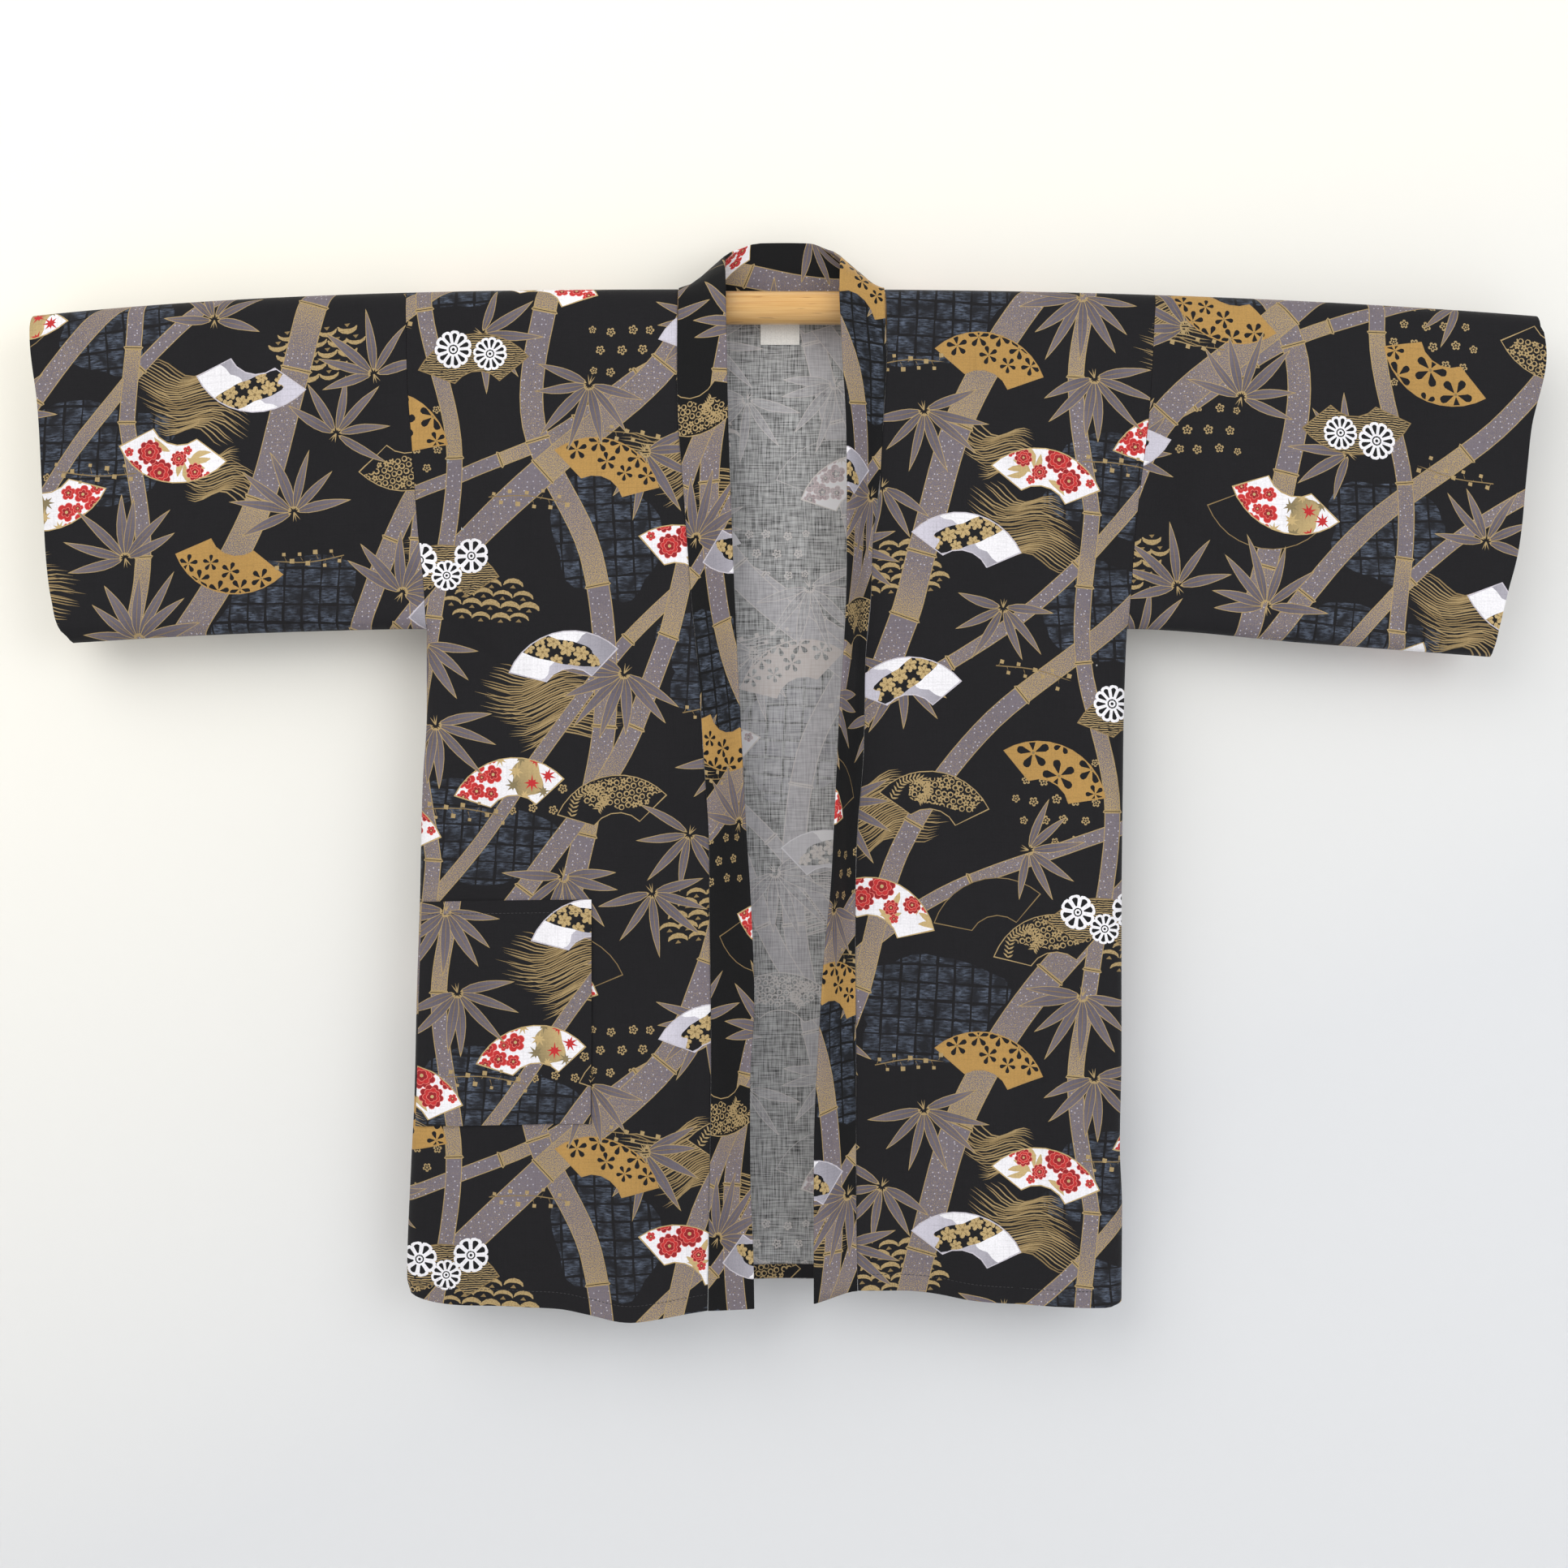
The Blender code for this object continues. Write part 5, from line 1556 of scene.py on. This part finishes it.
def sewing_thread(name, colour):
    material, nodes, shader = new_material(name, 0.55, Sheen_Weight=0.1)
    place = nodes.add("ShaderNodeTexCoord")
    twist = nodes.noise(place.outputs["Object"], stretch=(2600, 2600, 2600), detail=1.0)
    nodes.link(nodes.mix(twist, colour * 0.7, colour * 1.3), shader.inputs["Base Color"])
    return material


def bamboo_skin():
    """Golden skin with lengthwise fibres, brown flecks, and darker rings at the nodes."""
    material, nodes, shader = new_material("bamboo skin", 0.3, Coat_Weight=0.5, Coat_Roughness=0.16)
    place = nodes.add("ShaderNodeTexCoord")
    vector = place.outputs["Object"]
    fibres = nodes.noise(vector, stretch=(16, 900, 900), detail=3.0, roughness=0.6)
    broad = nodes.noise(vector, stretch=(7, 60, 60), detail=2.0)
    colour = nodes.mix(nodes.ramp(fibres, 0.3, 0.7), rgb(196, 144, 78), rgb(226, 184, 118))
    colour = nodes.mix(nodes.times(nodes.ramp(broad, 0.35, 0.7), 0.5), colour, rgb(214, 160, 84))
    flecks = nodes.noise(vector, stretch=(40, 520, 520), detail=2.0)
    colour = nodes.mix(nodes.times(nodes.ramp(flecks, 0.66, 0.74), 0.5), colour, rgb(120, 74, 34))
    split = nodes.add("ShaderNodeSeparateXYZ")
    nodes.link(vector, split.inputs[0])
    for node_x in POLE_NODES:
        away = nodes.math("ABSOLUTE", nodes.minus(split.outputs[0], node_x))
        ring = nodes.ramp(away, 0.0065, 0.0015)
        colour = nodes.mix(nodes.times(ring, 0.55), colour, rgb(126, 84, 42))
    nodes.link(colour, shader.inputs["Base Color"])
    nodes.link(nodes.plus(0.24, nodes.times(fibres, 0.16)), shader.inputs["Roughness"])
    bump(nodes, shader, fibres, 0.08 * MM, 0.5)
    return material


def studio_wall():
    """Pale wall with painted light: its colour is warm and brightest at the upper left and greyer towards
    the lower right, a painted fall-off of the light. It isn't seen from behind and lets light by.
    """
    material, nodes, shader = new_material("pale wall", 0.9, Specular_IOR_Level=0.1)
    place = nodes.add("ShaderNodeTexCoord")
    split = nodes.add("ShaderNodeSeparateXYZ")
    nodes.link(place.outputs["Object"], split.inputs[0])
    # Painted light: the base colour runs from pale grey low and to the right up to warm near-white high and
    # to the left, as if lit from the upper left
    slant = nodes.minus(split.outputs[2], nodes.times(split.outputs[0], 0.45))
    share = nodes.ramp(slant, -0.85, 0.35)
    low = nodes.mix(share, rgb(221, 222, 224), rgb(254, 250, 238))
    nodes.link(low, shader.inputs["Base Color"])
    output = material.node_tree.nodes["Material Output"]
    clear = nodes.add("ShaderNodeBsdfTransparent")
    choose = nodes.add("ShaderNodeMixShader")
    behind = nodes.add("ShaderNodeNewGeometry")
    path = nodes.add("ShaderNodeLightPath")
    unseen = nodes.math("MAXIMUM", behind.outputs["Backfacing"], path.outputs["Is Shadow Ray"])
    nodes.link(unseen, choose.inputs[0])
    nodes.link(shader.outputs[0], choose.inputs[1])
    nodes.link(clear.outputs[0], choose.inputs[2])
    nodes.link(choose.outputs[0], output.inputs["Surface"])
    return material


COTTON = printed_cotton("printed cotton", BLACK, 0.34)
BAND_COTTON = printed_cotton("printed cotton band", BAND_BLACK, 0.2)
WRONG_SIDE = wrong_side_cotton()
LABEL_TAPE = label_tape()
BLACK_THREAD = sewing_thread("black thread", rgb(44, 42, 45))
BAMBOO = bamboo_skin()


# Collar band
BAND_STEPS = (0, 0.09, 0.22, 0.42, 0.62, 0.82, 1)
BAND_ROWS = 1400
BAND_COLUMNS = 25
BAND_WAVES = ((0.043, 0, 60), (0.071, 1.3, -35), (0.019, 2.1, 0))
BAND_WAVE_DEPTH = 0.22 * MM


def band_section(seam, free, lead, gap):
    """Points across the band, from the seam in the panel's direction and on to its free edge."""
    reach = free - seam
    reach_unit = reach / np.linalg.norm(reach)
    start = seam + lead * gap
    controls = (start, start + lead * BAND_HINGE, free - reach_unit * BAND_LEAD, free)
    points = []
    for t in BAND_STEPS:
        weights = ((1 - t) ** 3, 3 * t * (1 - t) ** 2, 3 * t * t * (1 - t), t**3)
        points.append(sum(weight * control for weight, control in zip(weights, controls)))
    return points


def front_band_section(z_share, right):
    """The band beside one front, z_share of the way from the shoulder down to the hem."""
    seam_rows, free_rows = (RIGHT_SEAM, RIGHT_FREE) if right else (LEFT_SEAM, LEFT_FREE)
    lead = np.array([1.0 if right else -1.0, 0, 0])
    seam_z = seam_rows[-1][0] * MM * z_share
    free_z = NECK_FREE_Z + (free_rows[-1][0] * MM - NECK_FREE_Z) * z_share
    seam_x = float(along(seam_rows, seam_z))
    free_x = float(along(free_rows, free_z))
    seam_y = -float(layer_depth(seam_x, min(seam_z, 0), True)) - BAND_PROUD
    shown = abs(free_x - seam_x)
    stand = BAND_STAND * math.sqrt(max(BAND_WIDTH**2 - shown**2, 0))
    return band_section(np.array([seam_x, seam_y, seam_z]), np.array([free_x, seam_y - stand, free_z]),
        lead, SEAM_GAP)


def neck_band_section(index, right):
    """The band round the neck at one station of the table."""
    rows = np.array(NECK_STATIONS) * MM
    mirrored = rows[-1].copy()
    mirrored[[0, 3]] *= -1
    rows = np.vstack([rows, mirrored])
    seam, free = rows[index, :3], rows[index, 3:]
    tangent = rows[index + 1, :3] - rows[max(index - 1, 0), :3]
    if index == 0:
        tangent = np.array([0.0, 0.0, 1.0])
    angle = math.atan2(seam[1], seam[2])
    outward = np.array([0, math.sin(angle), math.cos(angle)] if index < NECK_CORNER_ROW else [0, 1.0, 0])
    lead = np.cross(tangent, outward)
    lead /= np.linalg.norm(lead)
    if lead[0] + lead[2] < 0:
        lead = -lead
    side = 1.0 if right else -1.0
    scale = np.array([side * (1.0 if right else NECK_LEFT_SHARE), 1, 1])
    seam = seam + outward * BAND_PROUD
    return band_section(seam * scale, free * scale, lead * np.array([side, 1, 1]), NECK_GAP)


def band_surface():
    """The band's middle surface and its normals on an even grid, with the length of band at each row."""
    levels = [step / BAND_LEVELS for step in range(BAND_LEVELS, 0, -1)]
    around = range(len(NECK_STATIONS))
    sections = [front_band_section(level, True) for level in levels]
    sections += [neck_band_section(index, True) for index in around]
    sections += [neck_band_section(index, False) for index in reversed(around)]
    sections += [front_band_section(level, False) for level in reversed(levels)]
    grid = np.array(sections)
    flat = curve(grid.reshape(len(grid), -1), 6 * len(grid)).reshape(-1, grid.shape[1], 3)
    middle = flat[:, grid.shape[1] // 2]
    length = lengths_along(middle)
    even = np.linspace(0, length[-1], BAND_ROWS)
    flat = np.stack([np.stack([np.interp(even, length, flat[:, k, axis]) for axis in range(3)], 1)
        for k in range(grid.shape[1])], 1)
    steps = np.linspace(0, 1, BAND_COLUMNS)
    rows = []
    for row in flat:
        smooth = curve(row, 40)
        reach = lengths_along(smooth)
        rows.append([[np.interp(t * reach[-1], reach, smooth[:, axis]) for axis in range(3)]
            for t in steps])
    surface = np.array(rows)
    down, across = np.gradient(surface, axis=0), np.gradient(surface, axis=1)
    return surface, unit(np.cross(across, down)), length[-1]


BAND_SURFACE, BAND_NORMALS, BAND_LENGTH = band_surface()
FOLD_HALF = math.pi / 2 * BAND_CLOTH / 2
BAND_FLAT_HALF = BAND_WIDTH + FOLD_HALF


def on_grid(grid, row, column):
    """Values of a grid between its points."""
    row = np.clip(row, 0, grid.shape[0] - 1.0001)
    column = np.clip(column, 0, grid.shape[1] - 1.0001)
    i, j = row.astype(int), column.astype(int)
    u, v = (row - i)[:, None], (column - j)[:, None]
    return ((grid[i, j] * (1 - u) + grid[i + 1, j] * u) * (1 - v)
        + (grid[i, j + 1] * (1 - u) + grid[i + 1, j + 1] * u) * v)


def band_place(w, length):
    """The folded band's outer surface: w runs from one seam edge over the fold at 0 to the other."""
    row = length / BAND_LENGTH * (BAND_SURFACE.shape[0] - 1)
    face = np.clip((np.abs(w) - FOLD_HALF) / BAND_WIDTH, 0, 1)
    column = (1 - face) * (BAND_SURFACE.shape[1] - 1)
    middle, normal = on_grid(BAND_SURFACE, row, column), unit(on_grid(BAND_NORMALS, row, column))
    edge = unit(on_grid(BAND_SURFACE, row, np.full(len(w), BAND_COLUMNS - 1.0))
        - on_grid(BAND_SURFACE, row, np.full(len(w), BAND_COLUMNS - 3.0)))
    angle = np.clip(w / FOLD_HALF, -1, 1) * math.pi / 2
    half = BAND_CLOTH / 2
    rise = (half + band_relief(w, length)) * np.sin(angle)
    return middle + normal * rise[:, None] + edge * (half * np.cos(angle))[:, None]


def band_relief(w, length):
    """Soft unevenness of the folded strip, none at its seam and fold."""
    away = np.clip((np.abs(w) - FOLD_HALF) / BAND_WIDTH, 0, 1)
    calm = np.sin(math.pi * away)
    waves = sum(np.sin(length / pitch + start + slant * w) for pitch, start, slant in BAND_WAVES)
    return BAND_WAVE_DEPTH * waves * calm


# The pieces
def collar_band(inks):
    """One strip folded lengthwise, closed along its seam edge and at both ends."""
    low = np.array([-BAND_FLAT_HALF, 0.0])
    high = np.array([BAND_FLAT_HALF, BAND_LENGTH])
    flat = box_flat(low, high, GRID_STEP)
    marks = FOLD_HALF * np.array([-1, -0.6, -0.25, 0.25, 0.6, 1])
    fold = [np.array([(w, 0), (w, BAND_LENGTH)]) for w in marks]
    flat = Flat(flat.outline, flat.lines + fold)
    points, triangles, colours = cut_cloth(flat, inks, BAND_PRINT_AT, (1, 1), BAND_BLACK)
    verts = band_place(*points.T)
    normal = normals_of(band_place, points, 1)
    mid = on_grid(BAND_SURFACE, points[:, 1] / BAND_LENGTH * (BAND_SURFACE.shape[0] - 1),
        (1 - np.clip((np.abs(points[:, 0]) - FOLD_HALF) / BAND_WIDTH, 0, 1)) * (BAND_SURFACE.shape[1] - 1))
    sign = 1 if np.median(((verts - mid) * normal).sum(1)) > 0 else -1
    normal *= sign
    outer = triangles if sign > 0 else triangles[:, ::-1]
    colours = colours if sign > 0 else colours[:, ::-1]
    shape_faces = [tuple(face) for face in outer]
    corner_normals = [normal[outer.ravel()]]
    ink = [colours.reshape(-1, 4)]
    uv = [points[outer.ravel()]]
    plain = np.array([*BAND_BLACK, FLAT_INK])
    for face in closing_faces(points):
        corners = verts[list(face)]
        flat_normal = unit(np.cross(corners[1] - corners[0], corners[2] - corners[0]))
        corner_normals.append(np.tile(flat_normal, (3, 1)))
        ink.append(np.tile(plain, (3, 1)))
        uv.append(points[list(face)])
        shape_faces.append(face)
    piece = finished_mesh("collar band cloth", verts, shape_faces, np.vstack(uv), np.vstack(ink),
        np.vstack(corner_normals), np.zeros(len(shape_faces)), [BAND_COTTON])
    fix_normals(piece)
    return piece


def closing_faces(points):
    """Triangles that close the folded strip between its two halves, along the seam edge and at both ends."""
    faces = []
    near = 1e-6
    for test, key in ((np.abs(points[:, 0]) > BAND_FLAT_HALF - near, 1), (points[:, 1] < near, 0),
            (points[:, 1] > BAND_LENGTH - near, 0)):
        index = np.nonzero(test)[0]
        one = index[points[index, 0] > 0]
        two = index[points[index, 0] < 0]
        one = one[np.argsort(np.abs(points[one, key]))]
        two = two[np.argsort(np.abs(points[two, key]))]
        i = j = 0
        while i < len(one) - 1 or j < len(two) - 1:
            step_one = i < len(one) - 1 and (j == len(two) - 1 or abs(points[one[i + 1], key])
                <= abs(points[two[j + 1], key]))
            if step_one:
                faces.append((int(one[i]), int(one[i + 1]), int(two[j])))
                i += 1
            else:
                faces.append((int(one[i]), int(two[j + 1]), int(two[j])))
                j += 1
    return faces


def fix_normals(piece):
    """Turns the closing faces outward, in agreement with the printed ones."""
    shape = bmesh.new()
    shape.from_mesh(piece.data)
    bmesh.ops.recalc_face_normals(shape, faces=shape.faces)
    shape.to_mesh(piece.data)
    shape.free()


def level_s(x, z):
    return float(drop_below(x, z))


def pocket(inks):
    """The patch pocket, its side edge set into the side seam."""
    outer = float(along(RIGHT_SIDE, POCKET_TOP)) + POCKET_SIDE_INSET
    top, bottom = level_s(outer, POCKET_TOP), level_s(outer, POCKET_BOTTOM)
    side = edge_line(RIGHT_SIDE, POCKET_SIDE_INSET, top, bottom)
    inner = np.column_stack((np.full(20, POCKET_INNER_X), np.linspace(bottom, top, 20)))
    low_row = np.column_stack((np.linspace(side[-1, 0], POCKET_INNER_X, 20), np.full(20, bottom)))
    top_row = np.column_stack((np.linspace(POCKET_INNER_X, side[0, 0], 20), np.full(20, top)))
    outline = np.vstack([side, low_row[1:-1], inner, top_row[1:-1]])
    lines = grid_lines(outline)
    lines += [edge_line(RIGHT_SIDE, inset, top, bottom, GRID_STEP) for inset in EDGE_RAILS[2:]]
    for depth in (POCKET_HEM - 1.5 * MM, POCKET_HEM, POCKET_HEM + 1.5 * MM):
        lines.append(np.array([(side[0, 0], top + depth), (POCKET_INNER_X, top + depth)]))
    out = PATCH_STEP + POCKET_EASE
    return cloth_piece("patch pocket", front_place, -1, Flat(outline, lines), inks, POCKET_PRINT_AT,
        [COTTON, WRONG_SIDE], out=out)


def back_hem(inks):
    """The back's hem allowance turned up inside, printed side to the front."""
    right = float(along(RIGHT_SIDE, HEM_Z)) + HEM_SIDE_INSET
    left = float(along(LEFT_SIDE, HEM_Z)) - HEM_SIDE_INSET
    low = level_line(BACK_HEM, right, left, HEM_LIFT)
    high = level_line(BACK_HEM, left, right, HEM_LIFT + HEM_TURN)
    outline = np.vstack([low, high])
    return cloth_piece("turned back hem", back_place, -1, Flat(outline, grid_lines(outline)), inks,
        HEM_PRINT_AT, [COTTON, WRONG_SIDE], out=PATCH_STEP)


def neck_label():
    x = 0.5 * (LABEL_LEFT_X + LABEL_RIGHT_X)
    over = math.acos(min(1, LABEL_TOP / RIDGE_RADIUS)) * RIDGE_RADIUS
    flat = box_flat(np.array([LABEL_LEFT_X, over]), np.array([LABEL_RIGHT_X, level_s(x, LABEL_BOTTOM)]),
        4 * MM)
    return cloth_piece("label", back_place, -1, flat, [], (0, 0), [LABEL_TAPE], out=PATCH_STEP,
        ground=WHITE)


def stitch_row(name, place, line, sign, out, finish):
    """A row of thread stitches sunk a little into the cloth along a flat line."""
    reach = lengths_along(line)
    stations = np.array(((-0.5, 0.15), (-0.3, 0.8), (0, 1.0), (0.3, 0.8), (0.5, 0.15)))
    sides = 5
    thick = STITCH_THICK
    middles = np.arange(STITCH_PITCH / 2, reach[-1], STITCH_PITCH)
    at = (middles[:, None] + stations[:, 0] * STITCH_LENGTH).ravel()
    spots = np.column_stack([np.interp(at, reach, line[:, axis]) for axis in range(2)])
    ahead = np.column_stack([np.interp(at + 0.5 * MM, reach, line[:, axis]) for axis in range(2)])
    base = place(*spots.T)
    normal = normals_of(place, spots, sign)
    forward = unit(place(*ahead.T) - base)
    beside = np.cross(normal, forward)
    share, swell = np.tile(stations, (len(at) // len(stations), 1)).T
    rise = out + thick * (0.35 * (1 - (2 * share) ** 2) - 0.2)
    angle = 2 * math.pi * np.arange(sides) / sides
    up = rise[:, None] + thick * swell[:, None] * np.sin(angle)
    across = thick * swell[:, None] * np.cos(angle)
    verts = base[:, None] + normal[:, None] * up[..., None] + beside[:, None] * across[..., None]
    verts = verts.reshape(-1, 3)
    faces = []
    for start in range(0, len(verts), sides * len(stations)):
        for one in range(start, start + sides * (len(stations) - 1), sides):
            faces += [(one + k, one + (k + 1) % sides, one + sides + (k + 1) % sides, one + sides + k)
                for k in range(sides)]
        faces.append(tuple(start + k for k in reversed(range(sides))))
        faces.append(tuple(start + sides * (len(stations) - 1) + k for k in range(sides)))
    mesh = bpy.data.meshes.new(name)
    mesh.from_pydata([tuple(vert) for vert in verts], [], faces)
    mesh.materials.append(finish)
    mesh.shade_smooth()
    piece = add_piece(name, mesh)
    fix_normals(piece)
    return piece


def pole_radius(x):
    """The culm thins towards its ends, swells into each node and has a groove on one side of it."""
    radius = POLE_RADIUS + (POLE_END_RADIUS - POLE_RADIUS) * (abs(x) / POLE_HALF_LENGTH) ** 2
    for node in POLE_NODES:
        away = x - node
        radius += 0.25 * MM * math.exp(-((away / (4 * MM)) ** 2))
        radius -= 0.3 * MM * math.exp(-(((away - 3.5 * MM) / (1.4 * MM)) ** 2))
    return min(radius, POLE_RADIUS + 0.15 * MM)


def bamboo_pole():
    """A turned culm, bowed as it hangs, with a cut hollow at each end."""
    places = list(np.linspace(-POLE_HALF_LENGTH, POLE_HALF_LENGTH, 62))
    places += [node + offset * MM for node in POLE_NODES for offset in np.linspace(-9, 9, 19)]
    places = sorted(set(round(place, 5) for place in places))
    hole_end = POLE_HALF_LENGTH - POLE_HOLE_DEPTH
    lip = 0.8 * MM
    profile = [(-hole_end, 0), (-hole_end, POLE_HOLE_RADIUS), (-POLE_HALF_LENGTH + lip, POLE_HOLE_RADIUS),
        (-POLE_HALF_LENGTH, POLE_HOLE_RADIUS + lip), (-POLE_HALF_LENGTH, POLE_END_RADIUS - lip)]
    profile += [(x, pole_radius(x)) for x in places if abs(x) < POLE_HALF_LENGTH - lip / 2]
    profile += [(-x, radius) for x, radius in reversed(profile[:5])]
    shape = bmesh.new()
    verts = [shape.verts.new((x, 0, radius)) for x, radius in profile]
    edges = [shape.edges.new(pair) for pair in zip(verts, verts[1:])]
    bmesh.ops.spin(shape, geom=verts + edges, cent=(0, 0, 0), axis=(1, 0, 0), angle=2 * math.pi, steps=56,
        use_merge=True)
    bmesh.ops.remove_doubles(shape, verts=shape.verts, dist=0.00001)
    for vert in shape.verts:
        vert.co.z += float(pole_z(vert.co.x))
    bmesh.ops.recalc_face_normals(shape, faces=shape.faces)
    mesh = bpy.data.meshes.new("bamboo pole")
    shape.to_mesh(mesh)
    shape.free()
    mesh.materials.append(BAMBOO)
    mesh.shade_smooth()
    mesh.set_sharp_from_angle(angle=math.radians(40))
    return add_piece("bamboo culm", mesh)


def declare(piece, node):
    piece.name = piece.name.replace(" ", "_")
    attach(piece, "root")
    if node:
        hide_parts(node)


inks = draw_repeat()
SIDE_GAP = SEAM_GAP / 2
BACK_GHOST = (-78, 76)

right_front_flat = body_flat(RIGHT_SIDE, SIDE_GAP, RIGHT_SEAM, -SIDE_GAP, FRONT_HEM, ("right",))
left_front_flat = body_flat(LEFT_SEAM, SIDE_GAP, LEFT_SIDE, -SIDE_GAP, FRONT_HEM, ("left",))
back_flat = body_flat(RIGHT_SIDE, SIDE_GAP, LEFT_SIDE, -SIDE_GAP, BACK_HEM, ("right", "left"))

right_hem_line = level_line(FRONT_HEM, -0.318, -0.067, FRONT_HEM_STITCH)
left_hem_line = level_line(FRONT_HEM, 0.065, 0.288, FRONT_HEM_STITCH)
stitches_right = stitch_row("right hem stitches", front_place, right_hem_line, -1, CLOTH / 2, BLACK_THREAD)
stitches_left = stitch_row("left hem stitches", front_place, left_hem_line, -1, CLOTH / 2, BLACK_THREAD)
for stitches in (stitches_right, stitches_left):
    declare(stitches, None)

for name, flat, place, sign, shift, turn, node, extra in (("right front cloth", right_front_flat,
        front_place, -1, (-505, -112), (1, 1), "front_right", [stitches_right]),
        ("left front cloth", left_front_flat, front_place, -1, (60, 190), (1, 1), "front_left",
        [stitches_left]), ("back cloth", back_flat, back_place, 1, (-40, 60), (-1, 1), "back", [])):
    span = BACK_GHOST if node == "back" else (0, 0)
    piece, extent, area = cloth_piece(name, place, sign, flat, inks, shift, [COTTON, WRONG_SIDE], turn,
        span=span)
    declare(piece, node)

for name, right, shift, node in (("right sleeve cloth", True, (-360, 120), "sleeve_right"),
        ("left sleeve cloth", False, (730, 300), "sleeve_left")):
    piece, extent, area = cloth_piece(name, sleeve_place, -1, sleeve_flat(right), inks, shift,
        [COTTON, WRONG_SIDE], (-1, -1))
    declare(piece, node)

band = collar_band(inks)
declare(band, "collar_band")

pocket_top_s = level_s(-0.31, POCKET_TOP)
pocket_line = np.array([(x, pocket_top_s + POCKET_HEM) for x in np.linspace(-0.306, -0.168, 30)])
pocket_out = PATCH_STEP + POCKET_EASE + CLOTH / 2
pocket_stitches = stitch_row("pocket stitches", front_place, pocket_line, -1, pocket_out, BLACK_THREAD)
declare(pocket_stitches, None)
piece, extent, area = pocket(inks)
declare(piece, "pocket")
piece, extent, area = back_hem(inks)
declare(piece, "back_hem")
piece, extent, area = neck_label()
declare(piece, "neck_label")
declare(bamboo_pole(), "bamboo_pole")


# Stage, light and camera
WALL_Y = 0.052
WALL_TOP = 1.3
WALL_HALF_WIDTH = 2.6
FLOOR_Z = -1.45
FLOOR_FRONT_Y = -3.0
ROOM_LIGHT = 0.7


def wall_and_floor():
    """A wall behind the jacket that curves into a floor below the view."""
    sweep = 0.35
    steps = 10
    profile = [(WALL_Y, WALL_TOP), (WALL_Y, FLOOR_Z + sweep)]
    for k in range(1, steps + 1):
        angle = math.pi / 2 * k / steps
        profile.append((WALL_Y - sweep * (1 - math.cos(angle)), FLOOR_Z + sweep * (1 - math.sin(angle))))
    profile.append((FLOOR_FRONT_Y, FLOOR_Z))
    verts = [(x, y, z) for y, z in profile for x in (-WALL_HALF_WIDTH, WALL_HALF_WIDTH)]
    faces = [(2 * k, 2 * k + 1, 2 * k + 3, 2 * k + 2) for k in range(len(profile) - 1)]
    mesh = bpy.data.meshes.new("wall and floor")
    mesh.from_pydata(verts, [], faces)
    mesh.shade_smooth()
    mesh.materials.append(studio_wall())
    if mesh.polygons[0].normal.y > 0:
        mesh.flip_normals()
    wall = bpy.data.objects.new("wall_and_floor", mesh)
    bpy.context.scene.collection.objects.link(wall)


def area_light(name, place, target, size, power, colour):
    light = bpy.data.lights.new(name, "AREA")
    light.shape = "DISK"
    light.size = size
    light.energy = power
    light.color = colour
    lamp = bpy.data.objects.new(name, light)
    lamp.location = place
    lamp.rotation_euler = (Vector(target) - Vector(place)).to_track_quat("-Z", "Y").to_euler()
    bpy.context.scene.collection.objects.link(lamp)


def studio():
    area_light("window light", (-1.5, -2.3, 1.3), (0, 0, -0.35), 3.0, 40, (1.0, 0.985, 0.95))
    area_light("fill light", (1.9, -2.4, 0.1), (0, 0, -0.45), 2.2, 24, (0.95, 0.975, 1.0))
    area_light("back light", (0.6, 2.6, 0.9), (0, 0, -0.4), 2.4, 46, (1.0, 1.0, 1.0))
    world = bpy.data.worlds.new("soft room")
    world.use_nodes = True
    world.node_tree.nodes["Background"].inputs["Color"].default_value = (1.0, 1.0, 1.0, 1)
    world.node_tree.nodes["Background"].inputs["Strength"].default_value = ROOM_LIGHT
    bpy.context.scene.world = world
    bpy.context.scene.view_settings.view_transform = "Standard"


def camera():
    lens = bpy.data.cameras.new("camera")
    lens.sensor_width = SENSOR
    reach = CAMERA_DISTANCE + FRONT_PLANE_Y
    lens.lens = SENSOR * reach / (PHOTO_PIXELS * PIXEL)
    view = bpy.data.objects.new("camera", lens)
    view.location = (0, -CAMERA_DISTANCE, CAMERA_Z)
    view.rotation_euler = (math.pi / 2, 0, 0)
    bpy.context.scene.collection.objects.link(view)
    bpy.context.scene.camera = view


wall_and_floor()
studio()
camera()
